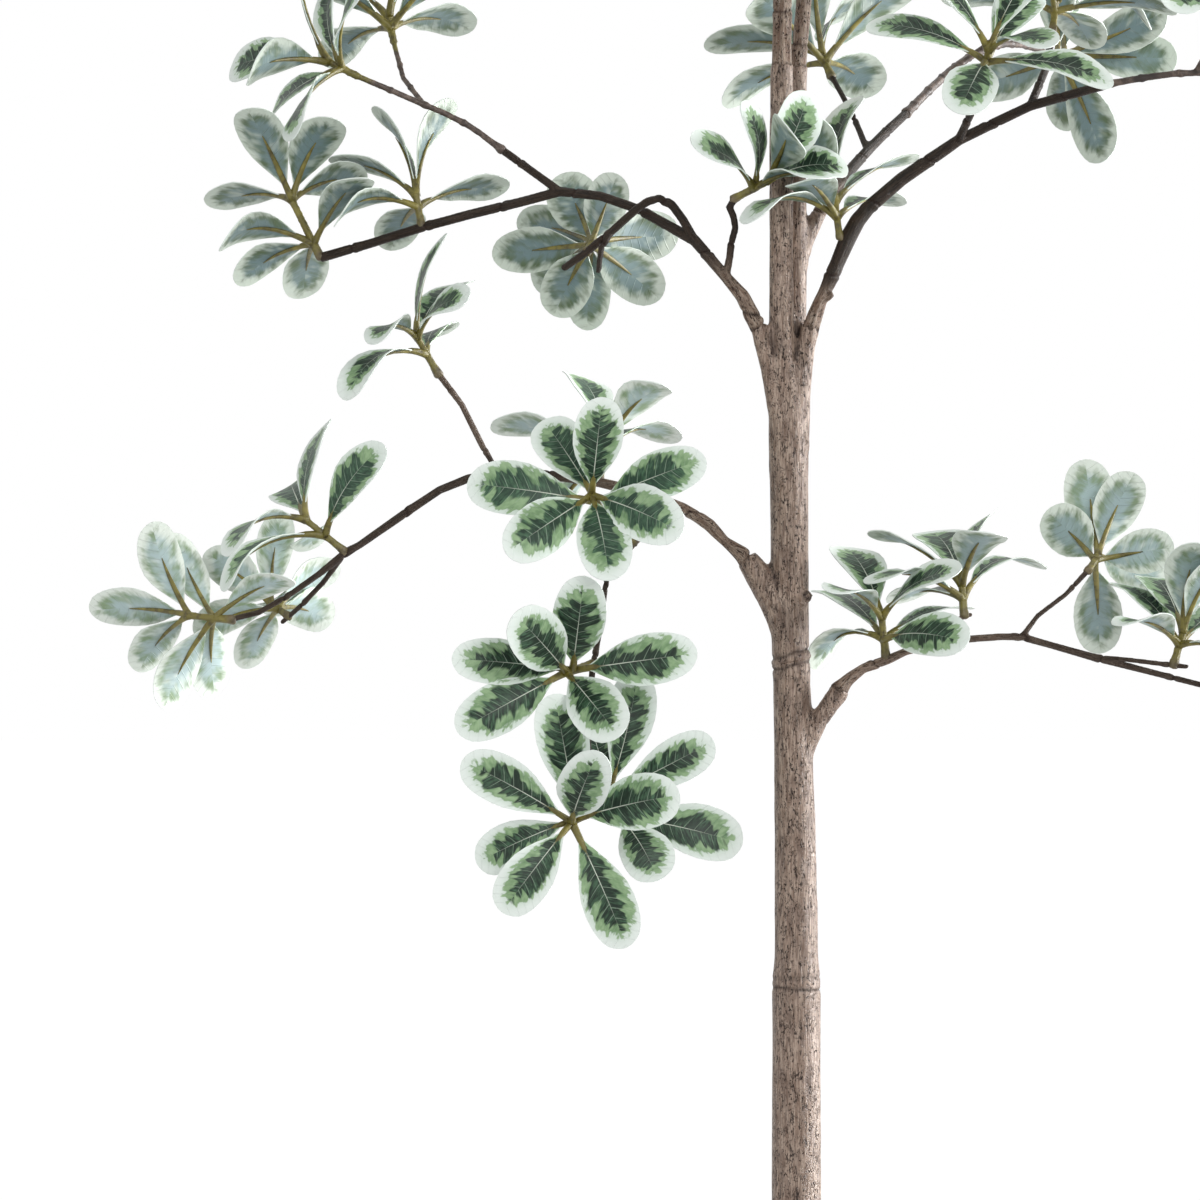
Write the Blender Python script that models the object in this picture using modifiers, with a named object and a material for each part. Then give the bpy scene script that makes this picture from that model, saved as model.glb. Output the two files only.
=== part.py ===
"""Potted Madagascar almond tree: a made tree with variegated leaves, standing in a plain planter.

The tree is put together as such trees are. A weighted planter holds a trunk in four jointed lengths.
Limbs plug into ring joints on the trunk and its two leaders, and each limb carries fine twigs moulded
in one with it. Every rosette is a moulded stem with its leaves, pushed onto a twig.

The tables are in millimetres. The origin is the middle of the planter's flat underside, +Z is up, and
the front of the tree looks along -Y. A strand is a list of points (x, y, z, radius) along a stem.
"""

import itertools
import math
import random

import bmesh
import bpy
from mathutils import Matrix, Vector
from mathutils.bvhtree import BVHTree

MM = 0.001
SEAT_GAP = 0.3              # clearance between a piece and what carries it
PLUG_GAP = 0.55             # the same where a thick limb plugs in
TREE_NAME = "potted_almond_tree"

# Planter and what fills it
POT_HEIGHT = 243.0
POT_FOOT_RADIUS = 96.0
POT_WALL_RADIUS = 134.0     # outside, just under the rim
POT_RIM_RADIUS = 141.0
POT_RIM_DEPTH = 18.0
POT_WALL = 4.0
POT_FLOOR = 5.0
BALLAST_TOP = 186.0
SOIL_EDGE = 204.0           # height of the soil at the planter's wall
SOIL_MOUND = 214.0          # height of the soil at the trunk
SOIL_HOLE_RADIUS = 16.9
RIM_CHAMFER = 1.5           # broken edges of the rim
RIM_DRAFT = 1.0             # how much the rim narrows towards its lower edge
RIM_LEAD_IN = 3.0           # depth of the slope inside the rim's top
RIM_SLOPE = 2.0             # how far that slope runs in
RIM_STEP = 0.5              # how far the wall stands out where the rim starts
FOOT_CHAMFER = 2.5          # height of the broken edge at the foot
FOOT_SET_IN = 1.0           # how far the underside's edge is set in
SOIL_SHOULDER_RADIUS = 60.0     # where the mound starts to fall away
SOIL_SHOULDER_DROP = 2.0
TURN_STEPS = 28

# Plain colours and roughnesses, so that the parts can be told apart
PLASTIC = ((0.03, 0.03, 0.032), 0.55)
CEMENT = ((0.42, 0.41, 0.39), 0.9)
SOIL = ((0.07, 0.05, 0.035), 0.95)
TRUNK_BARK = ((0.39, 0.31, 0.26), 0.8)
LIMB_BARK = ((0.39, 0.31, 0.26), 0.75)
LEAF_GREEN = ((0.28, 0.42, 0.31), 0.5)
BARK_SHARP_ANGLE = 60.0     # degrees between two faces from which their edge is drawn sharp
SHARP_ANGLE = 40.0          # the same on everything else

# Leaf blades, all from one mould
LEAF_REACH = 73.0           # from the stem's centre to the tip
LEAF_WIDTH = 30.0
# Places along a blade, with the share of its width and the thickness there
SHAPED_STATIONS = ((0.4, 0.44, 1.3), (0.72, 1.0, 1.1), (1.0, 0.42, 0.9))
PATTERN_STATIONS = ((0.62, 1.0, 1.2), (1.0, 0.45, 0.9))
LEAF_ARCH = 7.0
UPPER_SHARE = 0.9           # a blade's edges slope in towards its upper side
STEM_RADIUS = 2.5
STEM_TOP_RADIUS = 2.1
WHORL_HEIGHT = 4.4          # length of stem that one whorl of leaves grows from
# Whorls of a rosette that follows the pattern: place, leaves, opening from the stem in degrees
PATTERN_WHORLS = ((0.5, 4, 80.0), (1.0, 3, 50.0))
WHORL_TWIST = 45.0          # how far each whorl is turned on the one below it
PATTERN_SIZE = 0.98         # of the leaves of such rosettes, against the mould
# Their leaves differ a little: by degrees round the stem, degrees from it, and a share of the reach
SPIN_SLACK = 9.0
OPENING_SLACK = 8.0
REACH_SLACK = (0.94, 1.02)
# A leaf's tip that would pass through something is moved by steps of this length, at most this often
# to each side
NUDGE = 4.0
NUDGE_STEPS = 16
ROOT_SHARE = 0.2            # part of a petiole that sits in the stem, and may touch it
CORNER_TRIES = 36           # turns of a stem that are tried to face its sides to the leaves

# Stem sides: how many flats a tube has
TRUNK_SIDES = 12
LIMB_SIDES = 8
TWIG_SIDES = 6

TRUNK = {
    "trunk_butt": [
        [(0.0, 0, 5.3, 16.6), (0.1, 0, 120, 16.5), (0.2, 0, 210, 16.4), (0.3, 0, 300, 15.6),
         (0.4, 0, 420, 15.0), (0.5, 0, 486, 15.0), (0.5, 0, 499.7, 15.8)],
    ],
    "trunk_lower": [
        [(0.5, 0, 500.0, 15.6), (0.5, 0, 514, 14.7), (0.6, 0, 640, 14.3), (0.7, 0, 780, 13.9),
         (0.8, 0, 896, 13.5), (0.8, 0, 913.7, 13.8)],
    ],
    "trunk_middle": [
        [(0.8, 0, 914.0, 13.6), (0.8, 0, 920, 13.4), (0.8, 0, 931, 12.2), (0.6, 0, 962, 12.0),
         (-0.3, 0, 1020, 11.2), (-1.2, 0, 1052, 10.8), (-1.9, 0, 1084, 10.5), (-2.2, 0, 1095.7, 11.0)],
        [(-1, 0, 1026, 7.5), (5, -1, 1046, 6.2), (12.7, -2, 1062, 5.4), (19.4, -3, 1071.2, 5.5),
         (26.3, -4, 1081, 6.1)],
    ],
    "trunk_upper": [
        [(-2.2, 0, 1096.0, 10.9), (-2.4, 0, 1102, 10.5), (-3.0, 0, 1140, 10.7), (-3.2, 0, 1186, 10.6),
         (-3.8, 0, 1230, 11.0), (-4.0, 1, 1262, 9.0)],
        [(-5, -1, 1225, 8.2), (-6.8, -2.2, 1262, 7.4), (-7.6, -3, 1300, 6.8), (-7.7, -3, 1350, 6.7),
         (-7.5, -4, 1430, 6.6)],
        [(-1, 3, 1222, 8.0), (0.2, 7, 1262, 6.5), (1, 10, 1300, 5.7), (1.4, 12, 1345, 5.6),
         (1, 13.5, 1400, 5.4), (2, 15, 1430, 5.4)],
        [(-1.8, 0, 1100, 8.4), (-5.5, -1, 1114, 8.9), (-11, -2, 1128, 8.6), (-21.3, -3, 1145, 7.7),
         (-27.4, -4, 1153.5, 6.2)],
        [(-6, -1, 1222, 7.0), (-10, -2.5, 1240, 6.2), (-13.8, -3, 1258, 5.4), (-18, -4, 1273, 4.8),
         (-20.7, -4.5, 1284, 4.5)],
        [(0, 0, 1215, 8.5), (1.8, -1, 1245, 7.0), (4.6, -1, 1262, 5.6), (6.5, -1, 1273, 5.0),
         (8.8, -1, 1283, 5.7)],
        [(1.6, 11, 1312, 4.6), (6, 13, 1330, 4.3), (13.5, 17, 1347, 4.3)],
        [(0, -2, 1130, 3.6), (5, -6, 1131.5, 3.7), (8.0, -8.2, 1132.8, 3.3)],
    ],
}

# Leaders and limbs: (carrier, strand and point it plugs into, radius at the plug, strands).
# Each first strand is given from its second point on: its point 0 is the plug. The others start
# inside the first one, at one of its points.
LIMBS = {
    "leader_front": ("trunk_upper", 1, 4, 6.3, [
        [(-7, -5, 1470, 6.0), (-5, -7, 1540, 5.8), (-3, -8, 1610, 5.2), (0, -8, 1690, 4.7),
         (3, -6, 1760, 4.2), (6, -3, 1830, 3.7), (8, 0, 1900, 3.0), (6, 2, 1960, 2.3),
         (5, 2, 1996, 2.1)],
        [(8, 0, 1900, 2.3), (-10, 12, 1916, 2.0), (-34, 30, 1934, 1.9), (-52, 44, 1944, 1.8)],
    ]),
    "leader_rear": ("trunk_upper", 2, 5, 5.2, [
        [(5, 20, 1462, 5.0), (10, 30, 1520, 4.7), (20, 46, 1590, 4.2), (34, 64, 1660, 3.7),
         (50, 82, 1730, 3.1), (62, 94, 1792, 2.5), (68, 100, 1846, 2.2)],
    ]),
    "limb_left_low": ("trunk_upper", 3, 4, 5.7, [
        [(-32.5, -4, 1157.8, 4.4), (-39.2, -4, 1162.8, 3.2), (-44.6, -4, 1168.4, 3.9),
         (-48, -4, 1172, 4.1), (-54, -4, 1176, 3.7), (-63, -3, 1181.5, 3.6), (-87, 0, 1190.5, 3.4),
         (-110, 2, 1196, 3.2), (-143, 2, 1200.6, 3.0), (-166, 0, 1201, 2.9), (-183, -3, 1198, 2.8),
         (-199, -5, 1191.5, 2.6), (-215.6, -6, 1180.4, 2.8), (-243.6, -8, 1160.8, 2.4),
         (-252, -8, 1156, 2.6), (-267, -9, 1144, 2.1), (-283, -10, 1132.8, 1.9),
         (-300, -10, 1123, 1.9), (-316, -10, 1119, 1.9)],
        [(-252, -8, 1156, 1.9), (-264, -3, 1140, 1.8), (-277, 2, 1126.5, 1.7), (-284, 5, 1120.4, 1.7),
         (-288, 6.5, 1117, 1.5)],
        [(-166, 0, 1201, 1.9), (-175, -1.5, 1216, 1.7), (-186.5, -6, 1239.2, 1.6),
         (-200.5, -10, 1257.7, 1.7)],
        [(-87, 0, 1190.5, 2.4), (-82.4, -6, 1180, 2.2), (-82.6, -11, 1169, 2.1),
         (-90.7, -16, 1161.4, 2.3), (-105.3, -20, 1144, 1.9), (-109.6, -22, 1112, 1.9),
         (-113, -24, 1093.6, 2.1), (-117, -26, 1062, 1.8), (-114, -26, 1036, 1.9),
         (-108, -23, 1019, 1.7)],
    ]),
    "limb_right_low": ("trunk_middle", 1, 4, 5.8, [
        [(30.6, -4.5, 1086.2, 3.8), (38.3, -5, 1091.8, 3.1), (42.2, -5.5, 1093.2, 3.3),
         (51.8, -6, 1096.6, 2.9), (61.5, -6, 1101, 2.5), (75.6, -6, 1104.8, 2.4),
         (86.8, -5, 1107.4, 2.3), (114.8, -2, 1109.4, 2.3), (127, 0, 1109.3, 2.4),
         (143, 0, 1104.8, 2.2), (166.9, 0, 1098, 2.5), (203, 0, 1088.7, 2.0), (226.8, 0, 1082.6, 1.9),
         (268, -2, 1074, 2.0), (312, 3, 1071, 1.8)],
        [(75.6, -6, 1104.8, 1.8), (82, -1, 1112, 1.6), (89, 3, 1118, 1.6), (95.6, 4, 1121, 1.7),
         (99.5, 4, 1122, 1.4)],
        [(127, 0, 1109.3, 1.9), (136, 2, 1121.2, 1.6), (152, 4, 1133.3, 1.6), (165, 8, 1147.1, 1.8)],
        [(166.9, 0, 1098, 1.9), (186, -4, 1096.6, 1.6), (212, -6, 1093.4, 1.7), (220, -6.5, 1092.6, 1.5)],
        [(268, -2, 1074, 1.8), (286, -18, 1084, 1.6), (298, -34, 1100, 1.6)],
    ]),
    "limb_left_high": ("trunk_upper", 4, 4, 4.3, [
        [(-24.6, -5, 1290.4, 4.2), (-29.5, -5, 1300, 3.8), (-38.9, -5, 1310.9, 2.9),
         (-56.2, -3, 1331.3, 3.0), (-87.6, 4, 1349, 2.4), (-109, 6, 1356.5, 2.3),
         (-131.6, 7, 1359, 2.5), (-154, 7, 1353, 2.4), (-182, 7, 1346.2, 2.4), (-209, 8, 1339, 2.4),
         (-238, 9, 1330, 2.3), (-266, 10, 1322, 2.5)],
        [(-56.2, -3, 1331.3, 2.3), (-63, -8, 1343, 2.2), (-69, -10, 1351, 2.2),
         (-76, -10, 1354.4, 2.1), (-82.4, -8, 1353, 2.0), (-89, -6, 1348.5, 2.0),
         (-103, -4, 1336, 1.9), (-116.5, -2, 1325, 2.0), (-130, 0, 1315.4, 1.6)],
        [(-38.9, -5, 1310.9, 2.1), (-36.8, -8, 1321, 1.7), (-35.8, -10, 1329.5, 1.6),
         (-33.5, -12, 1338, 1.6), (-34.6, -12.6, 1344.5, 1.7), (-36.9, -13, 1349.5, 1.8),
         (-33.6, -15, 1354.6, 1.7)],
        [(-131.6, 7, 1359, 2.1), (-148, 11, 1371, 2.0), (-166, 13, 1384, 1.9)],
        [(-103, -4, 1336, 1.5), (-108.4, -8, 1327, 1.4), (-110.2, -9, 1313, 1.2)],
    ]),
    "limb_right_high": ("trunk_upper", 5, 4, 5.4, [
        [(11, -1, 1288.8, 5.2), (14.3, 0, 1297.6, 4.2), (18.9, 1, 1307, 3.8), (23.5, 2, 1318, 3.1),
         (29.5, 3, 1332.4, 3.9), (35.3, 3.5, 1342.8, 3.5), (41, 4, 1349.6, 3.0), (60, 6, 1366, 2.8),
         (92, 8, 1388, 2.6), (132, 6, 1407, 2.4), (176, 0, 1419, 2.2)],
        [(14.3, 0, 1297.6, 2.4), (18.8, -2, 1299.4, 2.2), (21, -3, 1301.4, 1.8)],
        [(132, 6, 1407, 2.0), (142, 24, 1430, 1.8), (146, 42, 1452, 1.7)],
        [(92, 8, 1388, 2.0), (98, -14, 1402, 1.8), (104, -38, 1420, 1.7)],
    ]),
    "limb_back_right": ("trunk_upper", 6, 2, 4.1, [
        [(20, 24, 1357, 3.8), (42, 58, 1384, 3.2), (66, 104, 1408, 2.8)],
        [(42, 58, 1384, 2.2), (34, 84, 1406, 1.9), (22, 108, 1430, 1.8)],
    ]),
    "limb_front": ("leader_front", 0, 1, 4.2, [
        [(-13, -26, 1477, 3.8), (-24, -62, 1500, 3.2), (-40, -122, 1528, 2.7)],
        [(-24, -62, 1500, 2.2), (-4, -84, 1520, 1.9), (18, -110, 1546, 1.8)],
    ]),
    "limb_back": ("leader_rear", 0, 2, 3.6, [
        [(8, 44, 1530, 3.4), (-4, 84, 1552, 3.0), (-24, 144, 1578, 2.6)],
        [(-4, 84, 1552, 2.1), (-40, 100, 1570, 1.8), (-76, 108, 1594, 1.7)],
    ]),
    "limb_left_top": ("leader_front", 0, 3, 3.6, [
        [(-18, -9, 1619, 3.2), (-70, -16, 1646, 2.8), (-136, -24, 1668, 2.4)],
        [(-70, -16, 1646, 2.0), (-96, -48, 1658, 1.8), (-112, -80, 1678, 1.7)],
    ]),
    "limb_right_top": ("leader_rear", 0, 3, 3.4, [
        [(38, 38, 1600, 3.2), (82, 26, 1630, 2.8), (144, 10, 1654, 2.4)],
        [(82, 26, 1630, 2.0), (104, 56, 1646, 1.8), (116, 86, 1668, 1.7)],
    ]),
}

# Sprays: forked twigs moulded with a rosette on each end. (carrier, strand and point it plugs into,
# radius at the plug, strands, and for each strand the stem and seed of the rosette on its end.) As
# with limbs, point 0 of each first strand is the plug.
SPRAYS = {
    "spray_right_low": ("limb_right_low", 0, 15, 1.8, [
        [(331, 6, 1072, 1.8), (350, 9, 1076, 1.7), (384, 14, 1085, 1.7)],
        [(331, 6, 1072, 1.6), (340, 26, 1082, 1.5), (344, 46, 1100, 1.5)]],
        [((20, 5, 10), 1), ((3, 12, 18), 2)]),
    "spray_left_high": ("limb_left_high", 3, 2, 1.9, [
        [(-184, 14, 1397, 1.9), (-208, 12, 1408, 1.8), (-246, 6, 1424, 1.8)],
        [(-208, 12, 1408, 1.7), (-220, 36, 1424, 1.6), (-226, 58, 1446, 1.6)]],
        [((-20, -4, 10), 3), ((-4, 10, 19), 4)]),
    "spray_right_high": ("limb_right_high", 0, 11, 2.2, [
        [(200, -4, 1423, 2.1), (224, -6, 1425, 2.0), (264, -11, 1421, 1.8), (298, -14, 1413, 1.7)],
        [(224, -6, 1425, 1.8), (232, -24, 1440, 1.7), (240, -42, 1460, 1.6)]],
        [((19, -4, 4), 5), ((5, -10, 19), 6)]),
    "spray_back_right": ("limb_back_right", 0, 3, 2.7, [
        [(92, 156, 1434, 2.5), (116, 208, 1450, 2.2), (138, 256, 1454, 2.0), (156, 296, 1450, 1.9)],
        [(92, 156, 1434, 2.0), (122, 168, 1456, 1.8), (150, 172, 1482, 1.7)]],
        [((10, 20, 0), 7), ((14, 2, 18), 8)]),
    "spray_front": ("limb_front", 0, 3, 2.6, [
        [(-52, -186, 1544, 2.4), (-60, -248, 1546, 2.2), (-64, -306, 1534, 2.0)],
        [(-52, -186, 1544, 2.0), (-86, -204, 1552, 1.8), (-122, -214, 1568, 1.7)]],
        [((-3, -22, -2), 9), ((-18, -6, 14), 10)]),
    "spray_back": ("limb_back", 0, 3, 2.5, [
        [(-46, 204, 1592, 2.3), (-66, 260, 1590, 2.1), (-82, 310, 1576, 1.9)],
        [(-46, 204, 1592, 2.0), (-18, 226, 1608, 1.8), (8, 242, 1630, 1.7)]],
        [((-6, 20, -2), 11), ((10, 8, 18), 12)]),
    "spray_left_top": ("limb_left_top", 0, 3, 2.3, [
        [(-202, -28, 1680, 2.2), (-262, -26, 1676, 2.0), (-306, -22, 1664, 1.9)],
        [(-202, -28, 1680, 1.9), (-222, 2, 1694, 1.7), (-234, 34, 1712, 1.6)]],
        [((-20, 2, 2), 13), ((-6, 14, 16), 14)]),
    "spray_right_top": ("limb_right_top", 0, 3, 2.3, [
        [(208, 0, 1666, 2.2), (264, -6, 1662, 2.0), (304, -8, 1650, 1.9)],
        [(208, 0, 1666, 1.9), (222, -32, 1676, 1.7), (230, -62, 1694, 1.6)]],
        [((20, -2, 2), 15), ((4, -14, 16), 16)]),
    "spray_crown_left": ("leader_front", 0, 5, 2.9, [
        [(-20, -18, 1779, 2.5), (-66, -44, 1808, 2.2), (-112, -66, 1824, 2.0), (-152, -84, 1826, 1.9)],
        [(-66, -44, 1808, 1.9), (-84, -30, 1834, 1.7), (-94, -14, 1862, 1.6)]],
        [((-18, -8, 4), 17), ((-4, 8, 19), 18)]),
    "spray_crown_right": ("leader_front", 0, 6, 2.7, [
        [(28, -8, 1846, 2.3), (74, -22, 1872, 2.1), (124, -40, 1882, 1.9)],
        [(74, -22, 1872, 1.9), (84, 8, 1890, 1.7), (90, 34, 1914, 1.6)]],
        [((18, -8, 6), 19), ((4, 8, 19), 20)]),
    "spray_crown_back": ("leader_rear", 0, 5, 2.4, [
        [(60, 104, 1746, 2.2), (80, 152, 1776, 2.0), (98, 206, 1788, 1.9)],
        [(80, 152, 1776, 1.8), (60, 176, 1796, 1.7), (36, 194, 1818, 1.6)]],
        [((6, 19, 4), 21), ((-10, 10, 14), 22)]),
    "spray_crown_inner": ("leader_rear", 0, 4, 2.4, [
        [(14, 82, 1684, 2.2), (-20, 112, 1716, 2.0), (-52, 146, 1738, 1.9)],
        [(-20, 112, 1716, 1.8), (-50, 96, 1736, 1.7), (-80, 84, 1762, 1.6)]],
        [((-12, 14, 10), 23), ((-8, -4, 19), 24)]),
    "spray_crown_rear": ("leader_rear", 0, 6, 2.2, [
        [(84, 84, 1806, 2.0), (112, 66, 1824, 1.8), (146, 46, 1836, 1.7)],
        [(84, 84, 1806, 1.7), (104, 112, 1830, 1.6), (124, 138, 1852, 1.5)]],
        [((17, -8, 8), 25), ((6, 12, 16), 26)]),
}

# Rosettes shaped leaf by leaf: (carrier, strand and point it sits on, stem, way the leaves face, size
# against the mould, whorls).
# A whorl is its place along the stem and its leaves. A leaf is how far its tip lies across (+X) and up
# (+Z) from the whorl, and its lean: the rest of its reach goes back for +1 and forward for -1. Two more
# values may follow, the degrees its upper side is turned towards the front, and the height of its arch.
SHAPED_ROSETTES = {
    "rosette_01": ("limb_left_low", 0, 19, (-24, 3, 2.4), (-0.4, 0.85, 0.3), 0.84, [
        (0.34, [(-22, 48, 1), (43, 23, -0.6), (-29, -51, 0.4), (0, -43, 1)]),
        (1.0, [(-57, 1.5, 1.7), (-24.5, 51.5, 0.6), (-31, -31.5, 0.8)])]),
    "rosette_02": ("limb_left_low", 1, 3, (-10, 13, 5), (-0.2, 0.8, 0.5), 0.84, [
        (0.5, [(-18, -34, 1), (-49, -12, 0.5), (30, -6, 1), (34, 24, 0.8)]),
        (1.0, [(-38, 30, 0.2), (5, 53, 0.8), (8, -4, 1)])]),
    "rosette_03": ("limb_left_low", 0, 15, (-21, -5, 17), (-0.5, -0.1, 0.85), 0.94, [
        (0.42, [(-57.5, -31, -1, 0, 13), (33, 51, -0.7, 50), (-10, -8, 1)]),
        (1.0, [(-43, -20, -1, 0, 12), (-8, 22, 1), (12, 56, 0.5)])]),
    "rosette_04": ("limb_left_low", 2, 3, (-11.5, -5, 20), (-0.3, -0.2, 0.9), 0.92, [
        (0.45, [(-43.7, -26, -1, 0, 14), (8, 14, 1)]),
        (1.0, [(17, 58, -0.2), (-22, -4, -1, 0, 10), (25, 32, 0.9), (30, 22, -1, 20)])]),
    "rosette_05": ("limb_left_low", 3, 3, (-23.2, -30, 26), (0.1, -1, 0.1), 1.0, [
        (0.82, [(59.6, 25.8, -0.8), (-72, 10.8, -1), (-30.5, 46, 0.3)]),
        (1.0, [(3.7, 54.5, -0.5), (51, -18.5, -1), (11.2, -47, -1), (-47.4, -31.5, -1)])]),
    "rosette_06": ("limb_left_low", 0, 8, (4.7, 16, 21), (0, 0.4, 0.9), 1.0, [
        (0.6, [(-41, -58, 0.4), (-64.7, 16, 1), (41, 8, 1, 0, 12)]),
        (1.0, [(-20.7, 41, 1), (32, 32, -0.4), (10, 26, 1)])]),
    "rosette_07": ("limb_left_low", 3, 6, (-14.5, -20, -4.6), (0, -1, 0.1), 1.0, [
        (0.66, [(7.3, 51.7, -1), (-67, 6.4, -1), (69.4, 7.4, -1)]),
        (1.0, [(-28.9, 31.8, -1), (-59.8, -33.8, -1), (28.9, -35.7, -1)])]),
    "rosette_08": ("limb_left_low", 3, 9, (-17, -27, -12.5), (0, -1, 0.15), 1.0, [
        (0.8, [(-10.7, 70, -1), (-55.7, -23, 0), (57.5, 15, -0.6)]),
        (1.0, [(12.9, 40.7, -1), (-60, 36, -1), (-38.5, -49.8, -0.5), (32, -69, -1)])]),
    "rosette_09": ("limb_left_low", 3, 8, (14, 22, -29), (0.3, -0.9, 0.2), 0.98, [
        (0.55, [(60, 29, -0.3), (16, 69, 0), (-16, 46, 0.8)]),
        (1.0, [(70, -17, 0), (21.5, -36.4, -0.3)])]),
    "rosette_10": ("limb_left_high", 0, 12, (-16, 8, 32), (-0.2, 0.6, 0.75), 0.96, [
        (0.16, [(-44, -22, 0.5), (-6, -28, 1), (-52, -2, -0.6, 0, 14), (30, 36, -0.9)]),
        (1.0, [(-46, -3, 0.8), (42, 12, 0.3), (-24, 50, -0.8), (24, 46, -0.3)])]),
    "rosette_11": ("limb_left_high", 0, 10, (-3, 3, 17), (0, 0.5, 0.85), 0.9, [
        (0.5, [(-46, -10, -0.5, 0, 12), (-16, -22, 1), (48, 10, 1)]),
        (1.0, [(-25, 48, 1), (22, 54, 1), (-50, 22, 0.5)])]),
    "rosette_12": ("limb_left_high", 1, 7, (3, 22, 6), (0, 1, 0.2), 0.96, [
        (0.6, [(-55, -6, 1), (-22, -38, 0.6), (40, -28, 1), (17, 40, 0.3)]),
        (1.0, [(-4, -48, 1), (49, 4, 1), (-17, 40, 0.6), (-42, 16, 0.8), (-33, -23, 0.2)])]),
    "rosette_13": ("limb_right_high", 0, 5, (-2, -4, 20), (-0.1, 0.15, 0.98), 0.98, [
        (0.45, [(-51, -4, -1, 0, 14), (36, 10, 1), (-22, 18, -0.9)]),
        (1.0, [(-26, 50, -0.4), (12, 60, 0.5), (44, 24, 1)])]),
    "rosette_14": ("limb_right_low", 0, 4, (-2.2, -3, 22), (0, 0, 1), 0.98, [
        (0.34, [(-39.4, -17, 0.6, 0, 13), (45.8, 0, -1, 55), (50, 17, 0.7), (-33, 28, 1)]),
        (1.0, [(-28.6, 14, -1), (44, 28, -0.7, 40), (-20, 40, 1)])]),
    "rosette_15": ("limb_right_low", 1, 3, (-1, 2, 17), (0, 0.1, 1), 0.94, [
        (0.4, [(-54, 9.5, -0.8, 0, 10), (-36, -2, 1), (45, 17, 0.8, 0, 14)]),
        (1.0, [(-52, 28.6, 0.5), (20, 42.6, 0.2), (12, 28.6, -1), (-16, 30, 1)])]),
    "rosette_16": ("limb_right_low", 2, 3, (6, 16, 8), (0, 1, 0.15), 0.94, [
        (0.55, [(-25, 29.3, 0.5), (45.5, 6, 0.3), (6.5, -52, 1)]),
        (1.0, [(-4.6, 54.8, 1), (19.5, 48, 0.6), (41.8, -16.7, 1)])]),
    "rosette_17": ("limb_right_low", 3, 2, (5, -3, 18), (0, 0, 1), 0.94, [
        (0.5, [(-33.7, 35, 1), (-33, 12, -1), (38, -12, -1), (40, 20, 1)]),
        (1.0, [(-15, 32, 1), (28, 44, -0.6), (5, 50, -1)])]),
    "rosette_18": ("limb_left_high", 2, 6, (18, -7, 9), (0.5, -0.5, 0.7), 0.9, [
        (0.5, [(-34, 22, -1), (38, 4, -0.6), (-6, 48, -0.4)]),
        (1.0, [(46, 8, 0.6), (10, 30, -1), (24, 50, 0.6)])]),
}

# Rosettes that repeat one pattern: (carrier, strand and point, stem, seed).
PATTERN_ROSETTES = {
    "rosette_19": ("limb_right_low", 4, 2, (8, -14, 15), 31),
    "rosette_20": ("limb_right_high", 2, 2, (3, 10, 20), 32),
    "rosette_21": ("limb_right_high", 3, 2, (3, -13, 18), 33),
    "rosette_22": ("limb_back_right", 1, 2, (-6, 12, 14), 34),
    "rosette_23": ("limb_front", 1, 2, (14, -8, 18), 35),
    "rosette_24": ("limb_back", 1, 2, (-16, 2, 16), 36),
    "rosette_25": ("limb_left_top", 1, 2, (-8, -14, 16), 37),
    "rosette_26": ("limb_right_top", 1, 2, (4, 14, 17), 38),
    "rosette_27": ("leader_front", 1, 3, (-14, 8, 16), 39),
    "rosette_28": ("leader_front", 0, 9, (0, 2, 26), 40),
    "rosette_29": ("leader_rear", 0, 7, (2, 4, 24), 41),
}


def collection(name):
    """A collection in the scene with this name."""
    group = bpy.data.collections.new(name)
    bpy.context.scene.collection.children.link(group)
    return group


def material(name, colour, roughness):
    """A plain Principled material."""
    mat = bpy.data.materials.new(name)
    mat.use_nodes = True
    shader = mat.node_tree.nodes["Principled BSDF"]
    shader.inputs["Base Color"].default_value = (*colour, 1.0)
    shader.inputs["Roughness"].default_value = roughness
    shader.inputs["Metallic"].default_value = 0.0
    return mat


def add_object(name, mesh, group, mat, sharp_angle=SHARP_ANGLE):
    """Link a mesh as one named object with its own material, shaded smooth but for its sharp edges."""
    mesh.name = name
    mesh.materials.clear()
    mesh.materials.append(mat)
    mesh.shade_smooth()
    mesh.set_sharp_from_angle(angle=math.radians(sharp_angle))
    obj = bpy.data.objects.new(name, mesh)
    group.objects.link(obj)
    return obj


def evaluated_mesh(obj):
    """The object's mesh as its modifiers or its curve make it, in world space, with caps welded."""
    depsgraph = bpy.context.evaluated_depsgraph_get()
    mesh = bpy.data.meshes.new_from_object(obj.evaluated_get(depsgraph))
    mesh.transform(obj.matrix_world)
    bm = bmesh.new()
    bm.from_mesh(mesh)
    bmesh.ops.remove_doubles(bm, verts=bm.verts, dist=1e-6)
    bmesh.ops.recalc_face_normals(bm, faces=bm.faces)
    bm.to_mesh(mesh)
    bm.free()
    return mesh


def turned_mesh(profile):
    """A closed ring or bowl: a profile of (radius, height) in millimetres turned about the Z axis."""
    mesh = bpy.data.meshes.new("profile")
    points = [(radius * MM, 0.0, height * MM) for radius, height in profile]
    closed = profile[0][0] > 0.0
    count = len(points)
    edges = [(i, (i + 1) % count) for i in range(count if closed else count - 1)]
    mesh.from_pydata(points, edges, [])
    obj = bpy.data.objects.new("profile", mesh)
    bpy.context.scene.collection.objects.link(obj)
    screw = obj.modifiers.new("turn", "SCREW")
    screw.steps = TURN_STEPS
    screw.render_steps = TURN_STEPS
    screw.use_merge_vertices = True
    screw.merge_threshold = 0.00005
    turned = evaluated_mesh(obj)
    bpy.data.objects.remove(obj)
    return turned


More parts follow.
